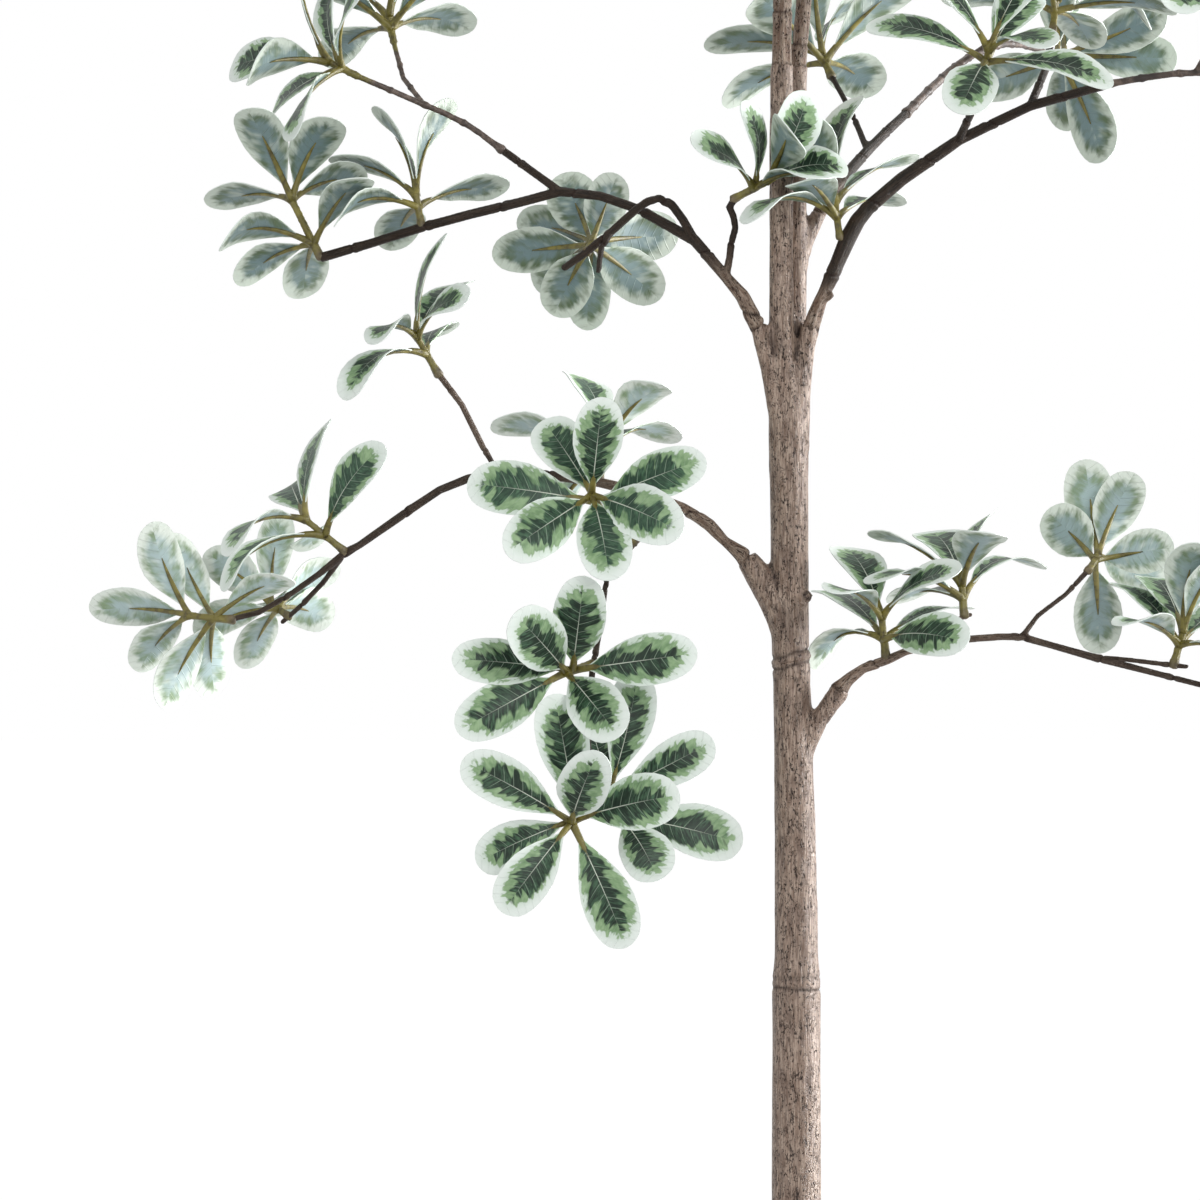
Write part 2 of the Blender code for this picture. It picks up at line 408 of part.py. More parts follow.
def strand_mesh(strand, sides):
    """A tapering stem through the strand's points, as a closed mesh."""
    curve = bpy.data.curves.new("strand", "CURVE")
    curve.dimensions = "3D"
    curve.bevel_depth = MM
    curve.bevel_resolution = (sides - 4) // 2
    curve.use_fill_caps = True
    length = sum((Vector(b[:3]) - Vector(a[:3])).length for a, b in zip(strand, strand[1:]))
    curve.resolution_u = 2 if length / len(strand) > 22.0 else 1
    spline = curve.splines.new("BEZIER")
    spline.bezier_points.add(len(strand) - 1)
    for point, (x, y, z, radius) in zip(spline.bezier_points, strand):
        point.co = Vector((x, y, z)) * MM
        point.radius = radius
        point.handle_left_type = "AUTO"
        point.handle_right_type = "AUTO"
    obj = bpy.data.objects.new("strand", curve)
    bpy.context.scene.collection.objects.link(obj)
    mesh = evaluated_mesh(obj)
    bpy.data.objects.remove(obj)
    return mesh


def fused_mesh(meshes):
    """One closed mesh: the union of several closed meshes that run into each other."""
    objects = [bpy.data.objects.new("piece", mesh) for mesh in meshes]
    for obj in objects:
        bpy.context.scene.collection.objects.link(obj)
    for other in objects[1:]:
        union = objects[0].modifiers.new("join", "BOOLEAN")
        union.operation = "UNION"
        union.solver = "EXACT"
        union.object = other
    mesh = evaluated_mesh(objects[0])
    for obj in objects:
        bpy.data.objects.remove(obj)
    return mesh


def plug_start(strand, index, toward, own_radius, gap=SEAT_GAP):
    """Where a piece that points toward a direction starts, just clear of a point of its carrier."""
    place = Vector(strand[index][:3])
    carrier_radius = strand[index][3]
    before = Vector(strand[max(index - 1, 0)][:3])
    after = Vector(strand[min(index + 1, len(strand) - 1)][:3])
    along = (after - before).normalized()
    direction = toward.normalized()
    if index == len(strand) - 1:
        return place + direction * (carrier_radius * math.sin(along.angle(direction)) + gap)
    side = (direction - along * direction.dot(along)).normalized()
    return place + side * (carrier_radius + gap + own_radius * math.sin(side.angle(direction)))


def plugged_strands(carrier_strand, index, radius, strands):
    """A limb's strands in full, the first one starting at its plug."""
    place = Vector(carrier_strand[index][:3])
    toward = Vector(strands[0][0][:3]) - place
    start = plug_start(carrier_strand, index, toward, radius, PLUG_GAP)
    return [[(*start, radius), *strands[0]], *strands[1:]]


def leaf_normal(direction, face, turn):
    """The way a leaf's upper side looks: the rosette's, turned by some degrees towards the front."""
    normal = (face - direction * face.dot(direction)).normalized()
    front = Vector((0.0, -1.0, 0.0))
    front = (front - direction * front.dot(direction)).normalized()
    sign = 1.0 if normal.cross(front).dot(direction) > 0.0 else -1.0
    return Matrix.Rotation(sign * math.radians(turn), 3, direction) @ normal


def leaf_sections(base_face, centre, reach, normal, arch, width, stations):
    """The corners of a leaf's cross-sections, in the order of its base face's corners."""
    around = [(-1, -1), (1, -1), (1, 1), (-1, 1)]
    middle = base_face.calc_center_median()
    spokes = [(vert.co - middle).normalized() for vert in base_face.verts]
    sections = []
    order = None
    for place, share, thickness in stations:
        point = centre + reach * place + normal * (arch * 4.0 * place * (1.0 - place))
        direction = (reach + normal * (arch * 4.0 * (1.0 - 2.0 * place))).normalized()
        up = (normal - direction * normal.dot(direction)).normalized()
        across = up.cross(direction)
        if order is None:
            turns = [around[number:] + around[:number] for number in range(4)]
            order = max(turns, key=lambda turn: sum(
                spoke.dot(across * side + up * level) for spoke, (side, level) in zip(spokes, turn)))
        corners = []
        for side, level in order:
            half = share * width / 2.0 * (UPPER_SHARE if level > 0 else 1.0)
            corners.append(point + across * half * side + up * thickness / 2.0 * level)
        sections.append(corners)
    return sections


def leaf_tree(base_face, sections):
    """A leaf's surface to test against others, without its root in the stem."""
    root = [vert.co.lerp(corner, ROOT_SHARE) for vert, corner in zip(base_face.verts, sections[0])]
    points = []
    for corners in [root, *sections]:
        points += corners
    quads = [(0, 1, 2, 3), tuple(range(len(points) - 4, len(points)))]
    for ring in range(len(sections)):
        for corner in range(4):
            low = 4 * ring + corner
            side = 4 * ring + (corner + 1) % 4
            quads.append((low, side, side + 4, low + 4))
    return BVHTree.FromPolygons(points, quads)


def mesh_tree(mesh):
    """A mesh's surface in millimetres, to test leaves against."""
    points = [vert.co / MM for vert in mesh.vertices]
    return BVHTree.FromPolygons(points, [tuple(face.vertices) for face in mesh.polygons])


def clear_leaf(base_face, centre, leaf, face, size, stations, way, obstacles):
    """A leaf's sections, with its tip moved a little along a way if it would pass through something."""
    reach, turn, arch = leaf
    best = None
    for number in range(2 * NUDGE_STEPS + 1):
        step = (number + 1) // 2 * (1 if number % 2 else -1) * NUDGE
        moved = reach + way * step
        normal = leaf_normal(moved.normalized(), face, turn)
        sections = leaf_sections(base_face, centre, moved, normal, arch * size, LEAF_WIDTH * size,
                                 stations)
        tree = leaf_tree(base_face, sections)
        crossings = sum(len(tree.overlap(obstacle)) for obstacle in obstacles)
        if best is None or crossings < best[0]:
            best = (crossings, sections, tree)
        if not crossings:
            break
    return best[1], best[2]


def grow_leaf(bm, base_face, sections):
    """Draw one leaf out of a face of the stem, section by section, to its tip."""
    face = base_face
    for corners in sections:
        face = bmesh.ops.extrude_discrete_faces(bm, faces=[face])["faces"][0]
        for vert, corner in zip(face.verts, corners):
            vert.co = corner


def matched_sides(normals, ways):
    """For each way a leaf points, the stem side to grow it from, and how well they agree in all."""
    best = max(
        itertools.permutations(range(len(normals)), len(ways)),
        key=lambda chosen: sum(normals[side].dot(way) for side, way in zip(chosen, ways)))
    return best, sum(normals[side].dot(way) for side, way in zip(best, ways))


def side_normals(axis, start, sides):
    """The outward directions of a prism's sides, the first one half a side on from a corner."""
    return [Matrix.Rotation(2.0 * math.pi * (number + 0.5) / sides, 3, axis) @ start
            for number in range(sides)]


def stem_corner(axis, sides, whorl_ways):
    """The direction of the stem's first corner that lets its sides face the leaves best."""
    start = axis.orthogonal().normalized()
    starts = [Matrix.Rotation(2.0 * math.pi * number / CORNER_TRIES, 3, axis) @ start
              for number in range(CORNER_TRIES)]
    return max(starts, key=lambda corner: sum(
        matched_sides(side_normals(axis, corner, sides), ways)[1] for ways in whorl_ways))


def rosette_mesh(base, stem, face, whorls, stations, size, way, obstacles):
    """A moulded stem with its leaves, kept clear of each other and of obstacles.

    A whorl is its place along the stem and its leaves, each a reach, a turn and an arch.
    """
    sides = max(4, max(len(leaves) for _, leaves in whorls))
    length = stem.length
    axis = stem.normalized()
    levels = [0.0]
    for place, _ in whorls:
        middle = min(place * length, length - WHORL_HEIGHT / 2.0)
        levels += [middle - WHORL_HEIGHT / 2.0, middle + WHORL_HEIGHT / 2.0]

    whorl_ways = [[(reach - axis * reach.dot(axis)).normalized() for reach, _, _ in leaves]
                  for _, leaves in whorls]
    corner_way = stem_corner(axis, sides, whorl_ways)
    frame = Matrix((corner_way, axis.cross(corner_way), axis)).transposed()

    bm = bmesh.new()
    bmesh.ops.create_cone(bm, cap_ends=True, segments=sides, radius1=1.0, radius2=1.0, depth=1.0)
    top = max(bm.faces, key=lambda f: f.calc_center_median().z)
    bottom = min(bm.faces, key=lambda f: f.calc_center_median().z)
    rim = {vert: Vector((vert.co.x, vert.co.y, 0.0)) for vert in bm.verts}
    for vert in bottom.verts:
        vert.co = base + frame @ (rim[vert] * STEM_RADIUS)
    bands = []
    for number, level in enumerate(levels[1:]):
        if number:
            below = {tuple(vert.co): rim[vert] for vert in top.verts}
            grown = bmesh.ops.extrude_face_region(bm, geom=[top])["geom"]
            if top.is_valid:
                bmesh.ops.delete(bm, geom=[top], context="FACES_ONLY")
            top = next(item for item in grown if isinstance(item, bmesh.types.BMFace))
            rim.update({vert: below[tuple(vert.co)] for vert in top.verts})
        radius = STEM_RADIUS + (STEM_TOP_RADIUS - STEM_RADIUS) * level / length
        for vert in top.verts:
            vert.co = base + axis * level + frame @ (rim[vert] * radius)
        bands.append([f for edge in top.edges for f in edge.link_faces if f is not top])
    bm.normal_update()

    laid = list(obstacles)
    laid.append(BVHTree.FromBMesh(bm))
    for number, (_, leaves) in enumerate(whorls):
        centre = base + axis * (levels[2 * number + 1] + levels[2 * number + 2]) / 2.0
        band = bands[2 * number + 1]
        chosen, _ = matched_sides([side.normal for side in band], whorl_ways[number])
        for side, leaf in zip(chosen, leaves):
            sections, tree = clear_leaf(band[side], centre, leaf, face, size, stations, way, laid)
            laid.append(tree)
            grow_leaf(bm, band[side], sections)
    bmesh.ops.scale(bm, vec=(MM, MM, MM), verts=bm.verts)
    mesh = bpy.data.meshes.new("rosette")
    bm.to_mesh(mesh)
    bm.free()
    return mesh


def shaped_leaf(size, across, up, lean, turn=0.0, arch=LEAF_ARCH):
    """One leaf of a shaped rosette: its reach, turn and arch."""
    reach = LEAF_REACH * size
    depth = math.sqrt(max(reach * reach - across * across - up * up, 0.0))
    return Vector((across, lean * depth, up)), turn, arch


def pattern_whorls(stem, seed):
    """The whorls of a rosette that follows the pattern, with small differences from its seed."""
    chance = random.Random(seed)
    axis = stem.normalized()
    start = axis.orthogonal().normalized()
    spin = chance.uniform(0.0, 360.0)
    reach = LEAF_REACH * PATTERN_SIZE
    whorls = []
    for place, count, opening in PATTERN_WHORLS:
        leaves = []
        for number in range(count):
            turn = spin + 360.0 * number / count + chance.uniform(-SPIN_SLACK, SPIN_SLACK)
            out = Matrix.Rotation(math.radians(turn), 3, axis) @ start
            tilt = math.radians(opening + chance.uniform(-OPENING_SLACK, OPENING_SLACK))
            way = axis * math.cos(tilt) + out * math.sin(tilt)
            leaves.append((way * reach * chance.uniform(*REACH_SLACK), 0.0, LEAF_ARCH))
        whorls.append((place, leaves))
        spin += WHORL_TWIST
    return whorls


def build_planter(group):
    """The planter, its cement ballast and the soil on top."""
    wall = POT_WALL
    slope = (POT_WALL_RADIUS - POT_FOOT_RADIUS) / (POT_HEIGHT - POT_RIM_DEPTH)

    def inside(height):
        """The planter's inner radius at a height."""
        return POT_FOOT_RADIUS + slope * height - wall

    rim_foot = POT_HEIGHT - POT_RIM_DEPTH
    pot = [(0.0, POT_FLOOR), (inside(POT_FLOOR), POT_FLOOR), (inside(rim_foot), rim_foot),
           (POT_RIM_RADIUS - wall - RIM_SLOPE, POT_HEIGHT - RIM_LEAD_IN),
           (POT_RIM_RADIUS - wall, POT_HEIGHT), (POT_RIM_RADIUS - RIM_CHAMFER, POT_HEIGHT),
           (POT_RIM_RADIUS, POT_HEIGHT - RIM_CHAMFER), (POT_RIM_RADIUS - RIM_DRAFT, rim_foot + RIM_CHAMFER),
           (POT_WALL_RADIUS + RIM_STEP, rim_foot), (POT_FOOT_RADIUS + RIM_CHAMFER, FOOT_CHAMFER),
           (POT_FOOT_RADIUS - FOOT_SET_IN, 0.0), (0.0, 0.0)]
    add_object("planter_pot", turned_mesh(pot), group, material("charcoal_plastic", *PLASTIC))

    gap = 2.0 * SEAT_GAP
    low = POT_FLOOR + SEAT_GAP
    ballast = [(SOIL_HOLE_RADIUS, low), (SOIL_HOLE_RADIUS, BALLAST_TOP),
               (inside(BALLAST_TOP) - gap, BALLAST_TOP), (inside(low) - gap, low)]
    add_object("ballast_cement", turned_mesh(ballast), group, material("cement", *CEMENT))

    low = BALLAST_TOP + SEAT_GAP
    soil = [(SOIL_HOLE_RADIUS, low), (SOIL_HOLE_RADIUS, SOIL_MOUND),
            (SOIL_SHOULDER_RADIUS, SOIL_MOUND - SOIL_SHOULDER_DROP),
            (inside(SOIL_EDGE) - gap, SOIL_EDGE), (inside(low) - gap, low)]
    add_object("soil", turned_mesh(soil), group, material("potting_soil", *SOIL))


def build_wood(group):
    """The trunk's sections and the limbs. Returns every piece's strands by its name."""
    strands_of = {}
    for name, strands in TRUNK.items():
        strands_of[name] = strands
        mesh = fused_mesh([strand_mesh(strand, TRUNK_SIDES if number == 0 else LIMB_SIDES)
                           for number, strand in enumerate(strands)])
        add_object(name, mesh, group, material(f"{name}_bark", *TRUNK_BARK), BARK_SHARP_ANGLE)
    for name, (carrier, strand, index, radius, strands) in LIMBS.items():
        strands_of[name] = plugged_strands(strands_of[carrier][strand], index, radius, strands)
        mesh = fused_mesh([strand_mesh(piece, TWIG_SIDES) for piece in strands_of[name]])
        add_object(name, mesh, group, material(f"{name}_bark", *LIMB_BARK), BARK_SHARP_ANGLE)
    return strands_of


def stem_tree(base, stem):
    """A rosette's stem, to test other rosettes' leaves against."""
    side = stem.orthogonal().normalized() * STEM_RADIUS
    other = stem.normalized().cross(side)
    points = [base, base + side, base + other, base + stem, base + stem + side, base + stem + other]
    return BVHTree.FromPolygons(points, [(0, 1, 4, 3), (1, 2, 5, 4), (2, 0, 3, 5)])


def build_rosettes(group, strands_of, obstacles):
    """Every single rosette, shaped or following the pattern, each on its own point of a limb."""
    for name, (carrier, strand, index, stem, face, size, whorls) in SHAPED_ROSETTES.items():
        stem = Vector(stem)
        base = plug_start(strands_of[carrier][strand], index, stem, STEM_RADIUS)
        whorls = [(place, [shaped_leaf(size, *leaf) for leaf in leaves]) for place, leaves in whorls]
        mesh = rosette_mesh(base, stem, Vector(face).normalized(), whorls, SHAPED_STATIONS, size,
                            Vector((0.0, 1.0, 0.0)), obstacles)
        obstacles.append(mesh_tree(mesh))
        add_object(name, mesh, group, material(f"{name}_leaves", *LEAF_GREEN))
    for name, (carrier, strand, index, stem, seed) in PATTERN_ROSETTES.items():
        stem = Vector(stem)
        base = plug_start(strands_of[carrier][strand], index, stem, STEM_RADIUS)
        mesh = rosette_mesh(base, stem, stem.normalized(), pattern_whorls(stem, seed),
                            PATTERN_STATIONS, PATTERN_SIZE, stem.normalized(), obstacles)
        obstacles.append(mesh_tree(mesh))
        add_object(name, mesh, group, material(f"{name}_leaves", *LEAF_GREEN))


def build_sprays(group, spray_strands, obstacles):
    """The forked twigs that are moulded in one with the rosettes on their ends."""
    for name, strands in spray_strands.items():
        meshes = [strand_mesh(piece, TWIG_SIDES) for piece in strands]
        for piece, (stem, seed) in zip(strands, SPRAYS[name][-1]):
            stem = Vector(stem)
            base = Vector(piece[-1][:3]) - stem.normalized() * STEM_RADIUS / 2.0
            mesh = rosette_mesh(base, stem, stem.normalized(), pattern_whorls(stem, seed),
                                PATTERN_STATIONS, PATTERN_SIZE, stem.normalized(), obstacles)
            obstacles.append(mesh_tree(mesh))
            meshes.append(mesh)
        add_object(name, fused_mesh(meshes), group, material(f"{name}_leaves", *LEAF_GREEN))


def main():
    """Build the whole tree in an empty scene."""
    for obj in list(bpy.data.objects):
        bpy.data.objects.remove(obj)
    tree = collection(TREE_NAME)
    build_planter(tree)
    strands_of = build_wood(tree)
    spray_strands = {
        name: plugged_strands(strands_of[carrier][strand], index, radius, strands)
        for name, (carrier, strand, index, radius, strands, _) in SPRAYS.items()}
    obstacles = [mesh_tree(obj.data) for obj in tree.objects]
    for carrier, strand, index, stem, *_ in [*SHAPED_ROSETTES.values(), *PATTERN_ROSETTES.values()]:
        base = plug_start(strands_of[carrier][strand], index, Vector(stem), STEM_RADIUS)
        obstacles.append(stem_tree(base, Vector(stem)))
    for strands in spray_strands.values():
        obstacles += [mesh_tree(strand_mesh(piece, TWIG_SIDES)) for piece in strands]
    build_rosettes(tree, strands_of, obstacles)
    build_sprays(tree, spray_strands, obstacles)


main()
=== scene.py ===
"""The looks of a potted madagascar almond tree: leaves, twigs, bark, soil and planter.

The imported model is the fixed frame. Every leaf, twig and limb here is grown on the place that
its own solid holds, so the model keeps its size.
"""

import heapq
import math
import random

import bmesh
import bpy
import numpy
from bpy.props import FloatProperty, PointerProperty, StringProperty
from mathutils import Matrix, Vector, noise
from mathutils.bvhtree import BVHTree


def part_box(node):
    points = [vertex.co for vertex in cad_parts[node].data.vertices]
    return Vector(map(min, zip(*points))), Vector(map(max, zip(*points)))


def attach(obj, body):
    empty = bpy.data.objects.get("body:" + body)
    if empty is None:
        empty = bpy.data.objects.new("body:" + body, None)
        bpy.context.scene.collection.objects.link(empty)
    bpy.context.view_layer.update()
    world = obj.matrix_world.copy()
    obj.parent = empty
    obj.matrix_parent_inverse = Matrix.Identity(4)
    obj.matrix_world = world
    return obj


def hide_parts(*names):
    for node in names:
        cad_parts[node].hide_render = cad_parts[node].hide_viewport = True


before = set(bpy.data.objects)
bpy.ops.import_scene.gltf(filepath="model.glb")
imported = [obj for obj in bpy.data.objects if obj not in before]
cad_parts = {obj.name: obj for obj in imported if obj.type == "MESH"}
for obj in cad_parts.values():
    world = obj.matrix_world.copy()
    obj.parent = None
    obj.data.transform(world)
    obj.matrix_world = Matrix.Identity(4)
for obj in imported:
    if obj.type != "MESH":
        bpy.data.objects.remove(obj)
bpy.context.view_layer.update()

bl_info = {
    "name": "Potted Madagascar Almond Tree",
    "version": (1, 0, 0),
    "blender": (4, 5, 0),
    "location": "View3D > Sidebar > Almond Tree",
    "description": "Grows variegated leaves, bark and a planter on a packed tree",
    "category": "Object",
}

MM = 0.001
OUT_OF_REACH = 9.0          # metres, for what no wood leads to
WHITE = (1.0, 1.0, 1.0, 1.0)
SMOOTH = {"interpolation_type": "SMOOTHSTEP"}
FIRST_SEED = 200
ROSETTES = [f"rosette_{number:02d}" for number in range(1, 30)]
TRUNK = ["trunk_butt", "trunk_lower", "trunk_middle", "trunk_upper"]

# What each limb grows from.
CARRIERS = {
    "leader_front": "trunk_upper",
    "leader_rear": "trunk_upper",
    "limb_left_low": "trunk_upper",
    "limb_right_low": "trunk_middle",
    "limb_left_high": "trunk_upper",
    "limb_right_high": "trunk_upper",
    "limb_back_right": "trunk_upper",
    "limb_front": "leader_front",
    "limb_back": "leader_rear",
    "limb_left_top": "leader_front",
    "limb_right_top": "leader_rear",
}
LIMBS = list(CARRIERS)
SPRAYS = [f"spray_{place}" for place in (
    "right_low", "left_high", "right_high", "back_right", "front", "back", "left_top", "right_top",
    "crown_left", "crown_right", "crown_back", "crown_inner", "crown_rear")]

# How far from its plug a limb is as pale as the trunk, where it has turned dark, in metres, and how
# dark that is.
USUAL_PALE_REACH = (0.01, 0.04, 1.0)
PALE_REACH = {
    "leader_front": (0.1, 0.5, 0.7),
    "leader_rear": (0.1, 0.4, 0.7),
    "limb_left_low": (0.05, 0.13, 0.9),
    "limb_right_low": (0.04, 0.13, 0.8),
    "limb_left_high": (0.015, 0.055, 1.0),
    "limb_right_high": (0.014, 0.03, 1.0),
}

# A limb whose upper twig is smoother and a lighter brown, and the height where that starts.
PALE_ABOVE = {"limb_left_low": 1.206}

# How much thicker than its solid a limb grows, and where along it that starts, is reached and halves
# again, in metres.
NO_COAT = (0.0, 0.0, 1.0, OUT_OF_REACH)
COAT = {
    "limb_left_high": (0.0006, -0.01, 0.0, OUT_OF_REACH),
    "limb_right_high": (0.0014, 0.018, 0.034, 0.11),
}

# Joints of limbs and twigs, and the radius that a limb's bark is painted for, in metres.
JOINT_GAP = 0.043
JOINT_DEPTH = 0.00055
LIMB_RADIUS = 0.005
TWIG_JOINT_GAP = 0.024

# Rings, collars and grooves of the trunk: height in metres, slant across it, then half width and
# rise in millimetres, and how dark the wash in it is.
TRUNK_RINGS = (
    (1.1005, 0.27, 1.1, -1.1, 0.8),
    (1.0938, 0.24, 0.9, -1.0, 0.8),
    (1.0970, 0.25, 2.4, 0.6, 0.0),
    (0.9125, -0.05, 1.0, -0.9, 0.8),
    (0.9185, 0.05, 1.2, -0.5, 0.4),
    (0.5, 0.1, 1.1, -1.0, 0.7),
    (0.507, -0.05, 3.0, 0.5, 0.0),
    (0.35, 0.06, 2.6, 0.7, 0.0),
    (0.7, -0.08, 2.4, 0.6, 0.0),
    (0.703, -0.08, 0.9, -0.7, 0.5),
)
CUT_STUB = (0.0080, -0.0102, 1.1328)

# Places along a leaf, as shares of its reach.
BLADE_FOOT = 0.15           # where the blade starts
BROADEST = 0.67             # where it is broadest
BROADEST_ROW = 0.56         # the same on the modelling grid
SHOULDER = 36.0             # how far from the tip, in degrees, the last row of the grid starts

# What tells the parts of a leaf's solid apart, in metres, and where its sections stand along it, by
# how many it has.
TIP_SIDE = (0.98 * MM, 1.21 * MM)       # the thin sides of its tip
TIP_ACROSS = 8.0 * MM                   # the tip is broader than this
STEM_ACROSS = 7.5 * MM                  # and the ring on the stem narrower than this
SECTION_SHARES = {2: (0.03, 0.62, 1.0), 3: (0.4, 0.72, 1.0)}
USUAL_HALF_WIDTH = 15.0 * MM

# How deeply leaves are printed, which by region is painted light and shade: the highest most, as
# painted shade, and those at the end and above the middle of the low left limb least, as painted
# light. Left, right, bottom and top of each region in metres, then the depth.
USUAL_PRINT = 0.5
LIGHT_AND_SHADE_REGIONS = (
    (-OUT_OF_REACH, OUT_OF_REACH, 1.23, OUT_OF_REACH, 0.92),
    (-0.25, 0.0, 1.12, 1.23, 0.15),
    (-OUT_OF_REACH, -0.25, 0.0, 1.2, 0.14),
)

# The print, in millimetres.
MAP_WIDTH = 40.0            # what the leaf's map spans across
MAP_LENGTH = 80.0           # and along
PRINT_LENGTH = 73.0
PRINT_HALF_WIDTH = 16.0
VEIN_GAP = 6.0              # between side veins
VEIN_SLANT = 0.5            # how far they run forward for each millimetre aside
VEIN_BOW = 0.012            # and how much more they do farther out

CELL_EDGE = 0.02            # free edge of a leaf's cell on the bake map, as a share of it

# How fine the other patterns are: how many of their features there are to a metre.
STEM_WASH = 260.0           # brushed wash, 4 mm
STEM_PATCHES = 90.0         # lighter and darker stretches, 11 mm
POT_GRAIN = 1400.0          # moulded grain, 0.7 mm, coarser than the real one so that it shows
POT_DUST = 22.0             # dust, 45 mm
CEMENT_GRAIN = 420.0        # sand, 2.4 mm
SOIL_GRIT = 520.0           # grit, 1.9 mm
SOIL_CHIPS = 560.0          # bark chips, 1.8 mm
RING_WAVER = 150.0          # how the trunk's rings waver round it, 7 mm
JOINT_DRIFT = 60.0          # how the gaps between a twig's joints change, 17 mm

# Where the soil's upper face starts, and how far out it heaps fully and less, in metres.
SOIL_TOP = (0.196, 0.203)
SOIL_REACH = (0.119, 0.126)

# How many times a trunk length is softened. The upper one keeps its fork and stub crisp.
SOFTENING = 26
UPPER_SOFTENING = 9


# ---------------------------------------------------------------- small tools

def linear(code):
    """A colour from its sRGB hex code."""
    parts = [int(code[i:i + 2], 16) / 255.0 for i in (1, 3, 5)]
    return (*[c / 12.92 if c <= 0.04045 else ((c + 0.055) / 1.055) ** 2.4 for c in parts], 1.0)


def select_only(obj):
    """Make one object the only selected one, and the active one."""
    bpy.ops.object.select_all(action="DESELECT")
    obj.select_set(True)
    bpy.context.view_layer.objects.active = obj


def apply_modifiers(obj):
    """Apply every modifier of an object, from the first to the last."""
    select_only(obj)
    for name in [modifier.name for modifier in obj.modifiers]:
        bpy.ops.object.modifier_apply(modifier=name)


def settle(obj):
    """Move the object's place into its mesh."""
    select_only(obj)
    bpy.ops.object.transform_apply(location=True, rotation=True, scale=True)


def finish_piece(obj, name, nodes):
    """Name a finished piece, let it ride with the tree and stand for its CAD nodes."""
    obj.name = name
    obj.data.name = name
    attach(obj, "root")
    if nodes:
        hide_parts(*nodes)


def merged_copy(node):
    """A new object with a CAD node's mesh, its loose triangles merged."""
    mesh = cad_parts[node].data.copy()
    mesh.materials.clear()
    obj = bpy.data.objects.new(node, mesh)
    bpy.context.scene.collection.objects.link(obj)
    select_only(obj)
    bpy.ops.object.mode_set(mode="EDIT")
    bpy.ops.mesh.select_all(action="SELECT")
    bpy.ops.mesh.remove_doubles(threshold=2e-6)
    bpy.ops.object.mode_set(mode="OBJECT")
    return obj


def points_of(mesh):
    """A mesh's vertex places as an array."""
    flat = numpy.empty(3 * len(mesh.vertices))
    mesh.vertices.foreach_get("co", flat)
    return flat.reshape(-1, 3)


def normals_of(mesh):
    """A mesh's vertex normals as an array."""
    flat = numpy.empty(3 * len(mesh.vertices))
    mesh.vertex_normals.foreach_get("vector", flat)
    return flat.reshape(-1, 3)


def set_points(mesh, points):
    """Put a mesh's vertices at new places."""
    mesh.vertices.foreach_set("co", points.ravel())
    mesh.update()


def edges_of(mesh):
    """The two ends of every edge, as two arrays."""
    flat = numpy.empty(2 * len(mesh.edges), dtype=numpy.int64)
    mesh.edges.foreach_get("vertices", flat)
    ends = flat.reshape(-1, 2)
    return ends[:, 0], ends[:, 1]


def spread(values, ends, steps):
    """Average values over neighbouring vertices, some times over."""
    first, second = ends
    count = len(values)
    share = numpy.bincount(first, minlength=count) + numpy.bincount(second, minlength=count) + 1.0
    for _ in range(steps):
        total = values.copy()
        for column in range(values.shape[1]):
            total[:, column] += numpy.bincount(first, values[second, column], count)
            total[:, column] += numpy.bincount(second, values[first, column], count)
        values = total / share[:, None]
    return values


def store(mesh, name, values):
    """Keep a number or a vector for every vertex."""
    if values.ndim == 1:
        layer = mesh.attributes.new(name, "FLOAT", "POINT")
        layer.data.foreach_set("value", values.astype(numpy.float32))
    else:
        layer = mesh.attributes.new(name, "FLOAT_VECTOR", "POINT")
        layer.data.foreach_set("vector", values.astype(numpy.float32).ravel())


def step_between(values, low, high):
    """0 below low, 1 above high and smooth between."""
    share = numpy.clip((values - low) / (high - low), 0.0, 1.0)
    return share * share * (3.0 - 2.0 * share)


# ---------------------------------------------------------------- materials

def feed(tree, socket, value):
    """Set an input to a value, or link it to an output or to a node's first output in use."""
    if isinstance(value, bpy.types.Node):
        value = next(output for output in value.outputs if output.enabled)
    if isinstance(value, bpy.types.NodeSocket):
        tree.links.new(value, socket)
    elif value is not None:
        socket.default_value = value


def add(tree, kind, *inputs, **settings):
    """Add a node with its settings and feed its inputs in their order; None leaves one as it is."""
    node = tree.nodes.new("ShaderNode" + kind)
    for name, value in settings.items():
        setattr(node, name, value)
    for socket, value in zip([socket for socket in node.inputs if socket.enabled], inputs):
        feed(tree, socket, value)
    return node


def new_material(name):
    """A new material and its node tree, which holds the output and the shader."""
    mat = bpy.data.materials.new(name)
    mat.use_nodes = True
    return mat, mat.node_tree


def set_shader(tree, inputs):
    """Feed the shader's inputs by their names."""
    shader = tree.nodes["Principled BSDF"]
    for name, value in inputs.items():
        feed(tree, shader.inputs[name], value)


